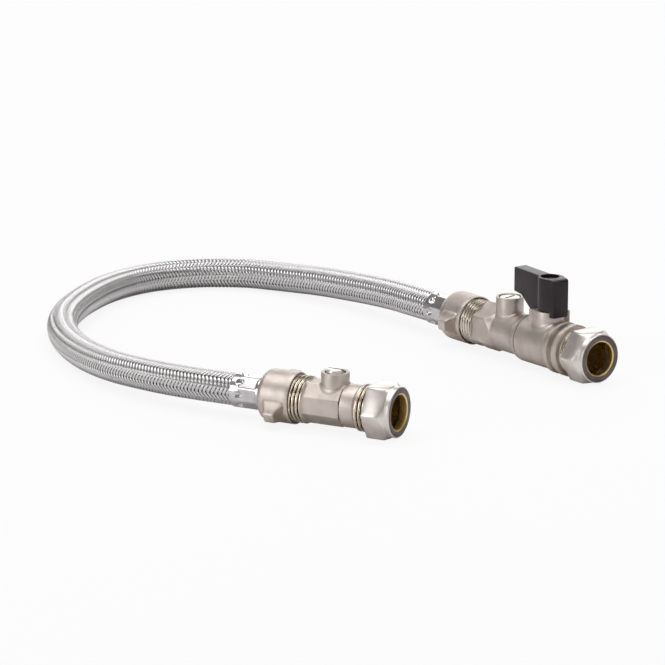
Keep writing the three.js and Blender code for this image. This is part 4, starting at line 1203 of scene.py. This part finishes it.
@dataclass(frozen=True)
class Lever(Assembly):
    """Moulded lever with its hub, stop tab, heel and screw recess, about the stem axis."""

    station: float
    rest: float = 6.0
    top: float = 31.5
    tail: float = 23.8
    tail_low: float = 20.0
    tail_half: float = 3.4
    tail_start: Point = (17.8, 19.4)
    heel_rise: Point = (15.0, 17.2)
    heel_end: float = 10.2
    hub_half: float = 6.0
    hub_rear: float = 0.4
    flare: float = 3.9
    nose: float = 9.0
    nose_half: float = 4.1
    nose_taper: float = 6.6
    nose_slope: float = 0.9
    underside: float = 16.25
    tab_low: float = 13.8
    tab_half_angle: float = 36.0
    boss_room: float = 7.6
    recess: float = 4.4
    web_top: float = 27.6
    drive: Point = (3.4, 2.9)
    drive_top: float = 24.1
    rounding: float = 0.8

    def side(self) -> Shape:
        """Return the lever's outline from the side, as wide as the hub and more.

        Returns:
            The extruded outline.
        """
        low = self.tab_low
        outline = [(self.tail, self.top), (self.nose_slope - self.nose, self.top),
                   (-self.nose, self.top - self.nose_slope), (-self.nose, low),
                   (self.heel_end, low), self.heel_rise, self.tail_start,
                   (self.tail, self.tail_low)]
        side = prism(outline, -self.hub_half - 1, self.hub_half + 1)
        return side.moved(Matrix.Rotation(math.pi / 2, 4, "X"))

    def plan(self) -> Shape:
        """Return the lever's outline from above, as high as the lever and more."""
        near = [(-self.nose, -self.nose_half), (self.nose_taper - self.nose, -self.hub_half),
                (self.hub_rear, -self.hub_half), (self.hub_rear + self.flare, -self.tail_half),
                (self.tail, -self.tail_half)]
        return prism(near + [(x, -y) for x, y in near[::-1]], self.tab_low - 1, self.top + 1)

    def kept(self) -> Shape:
        """Return the room that the lever keeps to: all above its underside, the tab and the heel.

        Returns:
            That room as one shape.
        """
        reach, low, lap = self.nose + 4, self.tab_low - 2, self.underside + 0.5
        opening = reach * math.tan(math.radians(self.tab_half_angle))
        above = prism(rectangle((-reach, -reach), (self.tail + 1, reach)), self.underside,
                      self.top + 2)
        tab = prism([(0.0, 0.0), (-reach, opening), (-reach, -opening)], low, lap)
        heel = prism(rectangle((0.0, -self.tail_half), (self.tail, self.tail_half)), low, lap)
        return carved(above, [("UNION", tab), ("UNION", heel)])

    def solid(self) -> Shape:
        """Return the lever with rounded edges, its recess, its drive and room for the boss.

        Returns:
            Its mesh at rest, in the valve's own frame.
        """
        moulded = carved(self.side(), [("INTERSECT", self.plan()), ("INTERSECT", self.kept())],
                         self.rounding, 4)
        hollows = (prism(circle(self.boss_room, 96), self.tab_low - 3, self.underside),
                   prism(circle(self.recess), self.web_top, self.top + 3),
                   bar(*self.drive, self.underside - 1, self.drive_top))
        shape = carved(moulded, [("DIFFERENCE", hollow) for hollow in hollows])
        return shape.moved(at_station(self.station, -self.rest))

    def make(self) -> None:
        """Build the lever."""
        self.show("lever_handle", self.solid(), (BLACK_HANDLE,), "lever", "black_plastic")


@dataclass(frozen=True)
class LeverValve(Assembly):
    """Lever valve: threaded end, ringed collar, smooth barrel, boss and stop ribs."""

    thread_end: float = 17.0
    thread_gap: float = 0.9
    collar: float = 12.0
    ring_groove: Edge = ((1.2, 0.0), (1.45, 0.25), (1.7, 0.0))
    collar_end: float = 20.2
    groove: float = 11.4
    groove_end: float = 23.6
    shoulder_end: float = 26.0
    barrel_start: float = 28.0
    barrel: float = 11.2
    seam: float = 46.85
    softness: float = 0.22
    centre: float = 34.8
    boss_radius: float = 7.3
    boss_top: float = 16.0
    stem_hole: float = 4.6
    port: float = 5.3
    pocket: float = 8.7
    seat_back: float = 7.9
    spigot: float = 9.3
    spigot_depth: float = 4.0
    rib_reach: float = 9.3
    rib_width: float = 1.3
    rib_height: float = 9.0
    rib_angles: Point = (132.1, -42.1)
    pipe: PipeEnd = PipeEnd()

    def profile(self, angle: float) -> list[Point]:
        """Return the closed profile of the body.

        Args:
            angle: Angle from the top.

        Returns:
            Station and radius of each point.
        """
        edge, start, collar = self.seam, self.thread_end, self.collar
        root, seat = edge - self.spigot_depth, self.centre - self.seat_back
        outside = softened([
            (start - 0.8, self.pipe.crest - 1.0), (start, self.pipe.crest - 0.8),
            (start + 0.05, collar - 0.5), (start + 0.5, collar),
            *edged(start, collar, self.ring_groove), (self.collar_end, collar),
            (self.collar_end + 0.15, self.groove), (self.groove_end, self.groove),
            (self.groove_end + 0.4, collar), (self.shoulder_end, collar - 0.05),
            (self.barrel_start, self.barrel), (edge, self.barrel)], self.softness)
        return [*self.pipe.outside(start - self.thread_gap, angle), *outside[1:-1],
                (edge - 0.3, self.barrel), (edge - 0.05, self.barrel - 0.2),
                (edge, self.spigot + 0.1), (root, self.spigot), (root, self.pocket),
                (seat, self.pocket), *self.pipe.inside(self.port, seat)]

    def rib(self, degrees: float) -> Shape:
        """Return one stop rib.

        Args:
            degrees: Its angle from the nut side towards the front.

        Returns:
            Its mesh, in the valve's own frame.
        """
        half = self.rib_width / 2
        outline = rectangle((-self.rib_reach, -half), (-self.boss_radius + 1, half))
        rib = carved(prism(outline, self.boss_top - self.rib_height, self.boss_top), [], 0.2, 2)
        return rib.moved(at_station(self.centre, -degrees))

    def make(self) -> None:
        """Build the pieces of the valve that show."""
        CompressionNut(self.placement, "lever_valve_nut", "lever_valve_compression_nut").make()
        shape = revolve(self.profile, even_angles(144), 9)
        self.pipe.dress(shape, self.thread_end - self.thread_gap)
        station, radius = shape.middles()
        groove = (station > self.collar_end + 0.1) & (station < self.groove_end)
        # Painted shade in the groove behind the ringed collar
        shape.finish = np.where(groove & (radius > self.barrel), Skin.SHADE, shape.finish).tolist()
        boss = Boss(self.centre, self.boss_radius, self.boss_top, self.stem_hole, 5.0, 1.6,
                    round_floor(self.barrel))
        for grown in (boss.shape(), *(self.rib(angle) for angle in self.rib_angles)):
            shape = shape.joined(grown)
        self.show("lever_valve_body", shape, VALVE_FINISHES)
        Lever(self.placement, self.centre).make()


@dataclass(frozen=True)
class CheckBody(Assembly):
    """Check valve body with its test plug, six flats and hose thread."""

    start: float = 47.15
    collar_end: float = 47.6
    taper_end: float = 52.2
    collar: float = 11.2
    barrel: float = 9.7
    softness: float = 0.8
    runout: float = 65.6
    runout_steps: int = 28
    barrel_end: float = 69.6
    flats_end: float = 77.8
    across: float = 19.9
    blunt: float = 0.12
    flats_edge: Edge = ((-0.5, 0.0), (-0.15, 0.15), (0.0, 0.45))
    hose_end: float = 92.4
    hose_thread: float = 10.48
    bore: float = 8.2
    mouth: float = 6.0
    spigot: float = 9.0
    spigot_length: float = 3.0
    plug_station: float = 62.4
    plug_boss: float = 6.4
    boss_top: float = 16.6
    plug_radius: float = 4.75
    plug_top: float = 16.3
    plug_edge: Edge = ((-0.45, 0.0), (-0.15, 0.12), (0.0, 0.4), (0.0, 3.9))
    slot_half: Point = (3.3, 0.6)
    slot_depth: float = 1.6
    slot_turn: float = 100.0
    union_tilt: float = 6.0

    def profile(self, angle: float) -> list[Point]:
        """Return the closed profile of the body.

        Args:
            angle: Angle from the top.

        Returns:
            Station and radius of each point.
        """
        start, end, barrel, crest = self.start, self.flats_end, self.barrel, self.hose_thread
        flat = flat_radius(angle, 6, self.across, Facing.CORNER, self.blunt)
        rows = [(start, self.spigot), (start, self.collar - 0.25), (start + 0.15, self.collar),
                (self.collar_end, self.collar)]
        rows += softened([(self.collar_end, self.collar), (self.collar_end + 1.8, self.collar - 0.35),
                          (self.taper_end - 1.2, barrel + 0.2), (self.taper_end, barrel),
                          (self.runout - 1, barrel)], self.softness)[1:]
        for share in np.linspace(0, 1, self.runout_steps + 1):
            cone = barrel + (across_corner(self.across, 6) - barrel) * share
            x = self.runout + (self.barrel_end - self.runout) * share
            rows.append((x, max(barrel, min(cone, flat))))
        back = start - self.spigot_length
        return [*rows, *edged(end, flat, self.flats_edge),
                (end + 0.15, min(flat, crest - 0.4) - 0.2),
                *thread_rows(end + 0.3, self.hose_end - 0.6, crest, angle, 0.1),
                (self.hose_end, crest - 0.9), (self.hose_end, self.bore), (start + 0.5, self.bore),
                (start + 0.5, self.mouth), (back, self.mouth), (back, self.spigot)]

    def plug(self) -> Shape:
        """Return the slotted test plug.

        Returns:
            Its mesh, in the valve's own frame.
        """
        top, r = self.plug_top, self.plug_radius
        rings = [(r / 2, top), *((r + out, top - drop) for out, drop in self.plug_edge)]
        rings.append((1.0, rings[-1][1]))
        slot = bar(*self.slot_half, top - self.slot_depth, top + 1)
        turned = slot.moved(at_station(0.0, self.slot_turn))
        shape = carved(upright(rings, 0.0, 64), [("DIFFERENCE", turned)])
        return shape.moved(at_station(self.plug_station))

    def make(self) -> None:
        """Build the body, its test plug and its union."""
        shape = revolve(self.profile, flat_angles(144, 6, Facing.CORNER))
        threaded(shape, self.flats_end + 0.3, self.hose_end - 0.2, self.hose_thread)
        boss = Boss(self.plug_station, self.plug_boss, self.boss_top, self.plug_radius + 0.45, 5.0,
                    1.0, round_floor(self.barrel))
        self.show("check_valve_body", shape.joined(boss.shape()), VALVE_FINISHES)
        self.show("test_plug", self.plug(), (TURNED_NICKEL,))
        HoseUnion(self.placement, "lever_valve", "lever_valve_union_nut", self.hose_end,
                  self.union_tilt).make()


# Hose


ROUTE: list[Point3] = [
    (-84.1, -49.1, 11.5), (-94.8, -43.5, 11.5), (-108, -34.6, 11), (-119, -25.6, 10.5),
    (-129.9, -14.7, 9.8), (-140.8, -1.4, 8.9), (-151.1, 15.8, 8), (-158.3, 31.4, 7.5),
    (-163.5, 46, 7.4), (-167.1, 61.4, 7.4), (-168.7, 76.8, 7.4), (-168.1, 92.8, 7.4),
    (-165.1, 109.3, 7.4), (-160, 125.8, 7.4), (-152.8, 142.3, 7.4), (-142.3, 157.3, 7.4),
    (-129.9, 167.8, 7.4), (-118.2, 173.2, 7.4), (-106.4, 176, 7.4), (-94.6, 176.2, 7.4),
    (-82.8, 174.2, 7.5), (-70.8, 169.1, 7.6), (-59, 162.3, 8), (-47.3, 153.5, 8.8),
    (-35.8, 142.6, 9.6), (-24.3, 130.6, 10.5), (-13, 117.3, 11.3), (-0.6, 99.8, 12),
    (6.4, 91, 12),
]


def between(a: np.ndarray, b: np.ndarray, start: float, end: float, t: float) -> np.ndarray:
    """Return the point at t on the line that runs from a at start to b at end."""
    return ((end - t) * a + (t - start) * b) / (end - start)


def centripetal(points: np.ndarray, per_span: int = 12) -> np.ndarray:
    """Return a smooth curve through points, as a centripetal Catmull-Rom spline.

    Args:
        points: Points that the curve passes through.
        per_span: Samples between two points.

    Returns:
        The samples.
    """
    padded = np.vstack([2 * points[0] - points[1], points, 2 * points[-1] - points[-2]])
    steps = np.sqrt(np.linalg.norm(np.diff(padded, axis=0), axis=1))
    samples = []
    for n in range(len(points) - 1):
        p = padded[n:n + 4]
        k = [0.0, *np.cumsum(steps[n:n + 3])]
        for t in np.linspace(k[1], k[2], per_span, endpoint=False):
            low = [between(p[i], p[i + 1], k[i], k[i + 1], t) for i in range(3)]
            high = [between(low[i], low[i + 1], k[i], k[i + 2], t) for i in range(2)]
            samples.append(between(*high, k[1], k[2], t))
    return np.array([*samples, points[-1]])


@dataclass
class BraidedHose:
    """Hose with a rubber liner under a two-over-two stainless braid."""

    radius: float = 7.2
    liner: float = 6.38
    liner_sides: int = 32
    liner_stride: int = 3
    carriers: int = 12
    lead: float = 22.5
    middle: float = 6.79
    band: float = 1.3
    thickness: float = 0.36
    lift: float = 0.23
    crossing: float = 2.4
    samples: float = 2.5
    run_in: float = 2.3
    spacing: float = 0.5
    smoothing: int = 6
    # Share of the band and of the thickness at each point of a carrier's crowned section
    section: Edge = ((-0.5, -0.3), (-0.29, 0.28), (0.0, 0.5), (0.29, 0.28), (0.5, -0.3),
                     (0.3, -0.5), (-0.3, -0.5))

    def __post_init__(self) -> None:
        """Lay out the centreline, run on into both ferrules, and a frame along it."""
        points = np.array(ROUTE, float)
        self.route = centripetal(points)
        ends = []
        for end, before in ((points[0], points[1]), (points[-1], points[-2])):
            ends.append(end + (end - before) / np.linalg.norm(end - before) * self.run_in)
        line = np.vstack([ends[0], self.route, ends[1]])
        run = np.concatenate([[0], np.cumsum(np.linalg.norm(np.diff(line, axis=0), axis=1))])
        self.length = float(run[-1])
        self.run = np.linspace(0, self.length, int(self.length / self.spacing))
        self.line = np.stack([np.interp(self.run, run, line[:, n]) for n in range(3)], axis=1)
        for _ in range(self.smoothing):
            self.line[1:-1] = (self.line[:-2] + 2 * self.line[1:-1] + self.line[2:]) / 4
        self.up, self.side = self.untwisted()

    def untwisted(self) -> tuple[np.ndarray, np.ndarray]:
        """Carry an upward direction along the line without twisting it.

        Returns:
            The upward and the sideways direction at each point of the line.
        """
        tangent = np.gradient(self.line, axis=0)
        tangent /= np.linalg.norm(tangent, axis=1)[:, None]
        up = np.zeros_like(tangent)
        current = np.array([0.0, 0.0, 1.0])
        for i, t in enumerate(tangent):
            current = current - t * current.dot(t)
            current /= np.linalg.norm(current)
            up[i] = current
        return up, np.cross(tangent, up)

    def place(self, run: np.ndarray, angle: np.ndarray, radius: np.ndarray) -> np.ndarray:
        """Find points of the hose.

        Args:
            run: Distances along it.
            angle: Angles round it.
            radius: Distances from its middle.

        Returns:
            The points, with a last axis of 3.
        """
        centre, up, side = (
            np.stack([np.interp(run, self.run, part[:, n]) for n in range(3)], axis=-1)
            for part in (self.line, self.up, self.side))
        return centre + radius[..., None] * (up * np.cos(angle)[..., None]
                                             + side * np.sin(angle)[..., None])

    def carrier(self, hand: Hand, index: int) -> tuple[np.ndarray, np.ndarray]:
        """Return the closed cross-sections of one carrier along the hose.

        Args:
            hand: The way it winds.
            index: Its number among the carriers of that hand.

        Returns:
            The points as samples, section, 3, and the UVs of each point.
        """
        turns = self.length / self.lead
        count = int(turns * 2 * self.carriers * self.samples)
        run = np.linspace(0, 1, count) * self.length
        start = TURN * (index + (0.5 if hand is Hand.LEFT else 0.0)) / self.carriers
        angle = start + hand.value * TURN * turns * run / self.length
        wave = np.cos(self.carriers / 2 * angle - math.pi / 4)
        over = hand.value * np.clip(wave * self.crossing, -1, 1) * self.lift
        slope = TURN * self.radius / self.lead
        scale = math.hypot(1, slope)
        across, crown = np.array(self.section).T * [[self.band], [self.thickness]]
        # Sideways from the wires, split between run and angle
        runs = run[:, None] - hand.value * (across * slope / scale)[None, :]
        angles = angle[:, None] + (across / scale / self.radius)[None, :]
        radii = (self.middle + over)[:, None] + crown[None, :]
        points = self.place(np.clip(runs, 0, self.length), angles, radii)
        u = np.repeat((run * scale / UV_SCALE)[:, None], len(across), axis=1)
        v = np.repeat((across / self.band + 0.5)[None, :], count, axis=0)
        return points, np.stack([u, v], axis=-1)

    def braid(self, hand: Hand) -> Shape:
        """Join all the carriers of one hand.

        Args:
            hand: The way they wind.

        Returns:
            The braid's half as a single mesh.
        """
        points, faces, corners = [], [], []
        start = 0
        for index in range(self.carriers):
            rows, uvs = self.carrier(hand, index)
            count, width = rows.shape[:2]
            base = start + np.arange(count - 1)[:, None] * width
            here = np.arange(width)[None, :]
            after = (here + 1) % width
            quads = np.stack([base + here, base + after, base + width + after,
                              base + width + here], axis=-1).reshape(-1, 4)
            corners.append(uvs.reshape(-1, 2)[quads.ravel() - start])
            faces.append(quads)
            points.append(rows.reshape(-1, 3))
            start += count * width
        quads = [tuple(quad) for quad in np.vstack(faces).tolist()]
        return Shape(np.vstack(points), quads, [0] * len(quads), np.vstack(corners).tolist())

    def tube(self) -> Shape:
        """Return the liner under the braid.

        Returns:
            Its mesh, in the row frame.
        """
        count = self.liner_sides
        run = self.run[::self.liner_stride]
        columns = self.place(np.repeat(run[None, :], count, axis=0),
                             np.repeat(even_angles(count)[:, None], len(run), axis=1),
                             np.full((count, len(run)), self.liner))
        return grid(columns, run / UV_SCALE).capped(count)

    def make(self) -> None:
        braids = [build(f"hose_braid_{hand.name.lower()}", self.braid(hand), (BRAID_WIRE,),
                        Ride("loop", "braid"), tidy=False) for hand in Hand]
        liner = build("hose_liner", self.tube(), (LINER_RUBBER,),
                      Ride("loop", "braid", "braided_hose"))


# Nodes that keep their own shape


@dataclass(frozen=True)
class InnerPieces:
    """Inner pieces whose solids stay, each with a finish of its own."""

    finishes: tuple[tuple[str, Finish], ...] = (
        ("olive", BARE_BRASS), ("hose_tail", BARE_BRASS), ("lever_stem_ring", BLACK_RUBBER),
        ("stem_ring", BLACK_RUBBER), ("lever_stem", BARE_BRASS), ("ball", CHROMED),
        ("screw", DARK_STEEL), ("seat", SEAT_PLASTIC), ("washer", FIBRE_WASHER),
        ("plug_seal", BLACK_RUBBER), ("check_seal", BLACK_RUBBER), ("spring", BRIGHT_STEEL),
        ("clip", BRIGHT_STEEL), ("check_", WHITE_MOULDING))

    def make(self) -> None:
        """Give every node that still shows its finish."""
        for name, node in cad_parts.items():
            if node.hide_render:
                continue
            finish = next((f for key, f in self.finishes if key in name), CAST_NICKEL)
            node.data.materials.clear()
            node.data.materials.append(finish.material())
            log.info("%s: %s", name, finish.name)


# Surroundings


@dataclass(frozen=True)
class Lamp:
    """Soft rectangular lamp, with its sizes in metres and its power in watts."""

    name: str
    place: Point3
    size: Point
    power: float

    def make(self, target: Point3) -> None:
        """Hang the lamp.

        Args:
            target: The point that it faces.
        """
        data = bpy.data.lights.new(self.name, "AREA")
        data.shape = "RECTANGLE"
        data.size, data.size_y = self.size
        data.energy = self.power
        lamp = linked(self.name, data)
        lamp.location = self.place
        away = Vector(target) - Vector(self.place)
        lamp.rotation_euler = away.to_track_quat("-Z", "Y").to_euler()


@dataclass(frozen=True)
class Studio:
    """Pale floor, soft lamps and the camera at the photograph's angle."""

    camera_place: Point3 = (-41.844, -1693.672, 477.931)
    pitch: float = 15.0
    focal_pixels: float = 3900.0
    photo_side: float = 665.0
    sensor: float = 36.0
    clip: Point = (0.05, 50.0)
    floor_half: float = 3.0
    floor_colours: tuple[Point3, Point3] = ((0.86, 0.86, 0.86), (0.88, 0.88, 0.88))
    floor_glow: float = 0.88
    middle: Point3 = (-0.04, 0.04, 0.01)
    lamps: tuple[Lamp, ...] = (
        Lamp("overhead", (-0.1, 0.2, 1.2), (1.6, 0.9), 8.0),
        Lamp("left_front", (-1.05, -0.68, 0.42), (0.7, 0.75), 3.5),
        Lamp("right_strip", (0.95, -0.55, 0.45), (0.12, 0.6), 0.6),
        Lamp("back", (-0.1, 1.6, 0.55), (2.4, 0.8), 8.0),
        Lamp("right_front", (0.8, -1.3, 0.3), (0.5, 0.4), 0.8))

    def camera(self) -> None:
        """Set the camera."""
        data = bpy.data.cameras.new("camera")
        data.sensor_width = self.sensor
        data.lens = self.focal_pixels / self.photo_side * self.sensor
        data.clip_start, data.clip_end = self.clip
        camera = linked("camera", data)
        camera.location = Vector(self.camera_place) * MM
        camera.rotation_euler = (math.radians(90 - self.pitch), 0, 0)
        bpy.context.scene.camera = camera

    def seen_mix(self, graph: Graph, other: Socket, seen: Socket, share: float) -> Socket:
        """Mix two shaders so that the camera sees more of the second one.

        Args:
            graph: Nodes to add to.
            other: Shader for every other ray.
            seen: Shader for the camera's own rays.
            share: How much of it they see.

        Returns:
            The mixed shader.
        """
        direct = graph.add("ShaderNodeLightPath", {}, "Is Camera Ray")
        factor = graph.add("ShaderNodeMath", {0: direct, 1: share})
        factor.node.operation = "MULTIPLY"
        return graph.add("ShaderNodeMixShader", {"Fac": factor, 1: other, 2: seen})

    def floor(self) -> None:
        """Lay the pale floor, which keeps a faint shadow."""
        mesh = bpy.data.meshes.new("floor")
        half = self.floor_half
        corners = [(x, y, 0) for x, y in rectangle((-half, -half), (half, half))]
        mesh.from_pydata(corners, [], [(0, 1, 2, 3)])
        material = bpy.data.materials.new("pale_floor")
        graph = Graph(material)
        shader = graph.tree.nodes["Principled BSDF"]
        low, high = self.floor_colours
        tone = graph.ramp(graph.noise(6.0, 3.0), {0.3: low, 0.7: high})
        graph.fill(shader, {"Roughness": 0.75, "Specular IOR Level": 0.2, "Base Color": tone})
        glow = graph.add("ShaderNodeEmission", {"Strength": 1.0})
        mix = self.seen_mix(graph, shader.outputs[0], glow, self.floor_glow)
        graph.fill(graph.tree.nodes["Material Output"], {"Surface": mix})
        mesh.materials.append(material)
        linked("floor", mesh)

    def sky(self) -> None:
        """Light the scene with a soft sky that is darkest half way up, and show it as white."""
        world = bpy.data.worlds.new("studio")
        bpy.context.scene.world = world
        graph = Graph(world)
        parts = graph.add("ShaderNodeSeparateXYZ", {0: graph.coordinate("Generated")}, "Z")
        tone = graph.ramp(parts, {0.0: (0.42, 0.41, 0.40), 0.2: (0.34, 0.33, 0.325),
                                  0.55: (0.18, 0.175, 0.17), 0.85: (0.5, 0.5, 0.5),
                                  1.0: (0.7, 0.7, 0.7)})
        back = graph.tree.nodes["Background"]
        graph.fill(back, {"Color": tone, "Strength": 1.0})
        white = graph.add("ShaderNodeBackground", {"Color": (1, 1, 1, 1), "Strength": 1.0})
        mix = self.seen_mix(graph, back.outputs[0], white, 1.0)
        graph.fill(graph.tree.nodes["World Output"], {"Surface": mix})

    def make(self) -> None:
        """Build the surroundings."""
        self.camera()
        self.floor()
        self.sky()
        for lamp in self.lamps:
            lamp.make(self.middle)
        bpy.context.scene.view_settings.view_transform = "Standard"


def main() -> None:
    """Build the filling loop and its surroundings."""
    logging.basicConfig(level=logging.INFO, format="%(name)s: %(message)s")
    isolating = Placement((-13.0, -85.6), 11.5, 27.2)
    lever = Placement((78.6, -0.8), 12.0, 51.8)
    assemblies = (Studio(), BraidedHose(), IsolatingValve(isolating), LeverValve(lever),
                  CheckBody(lever), InnerPieces())
    for assembly in assemblies:
        log.info("building %s", type(assembly).__name__)
        assembly.make()


if __name__ == "__main__":
    main()
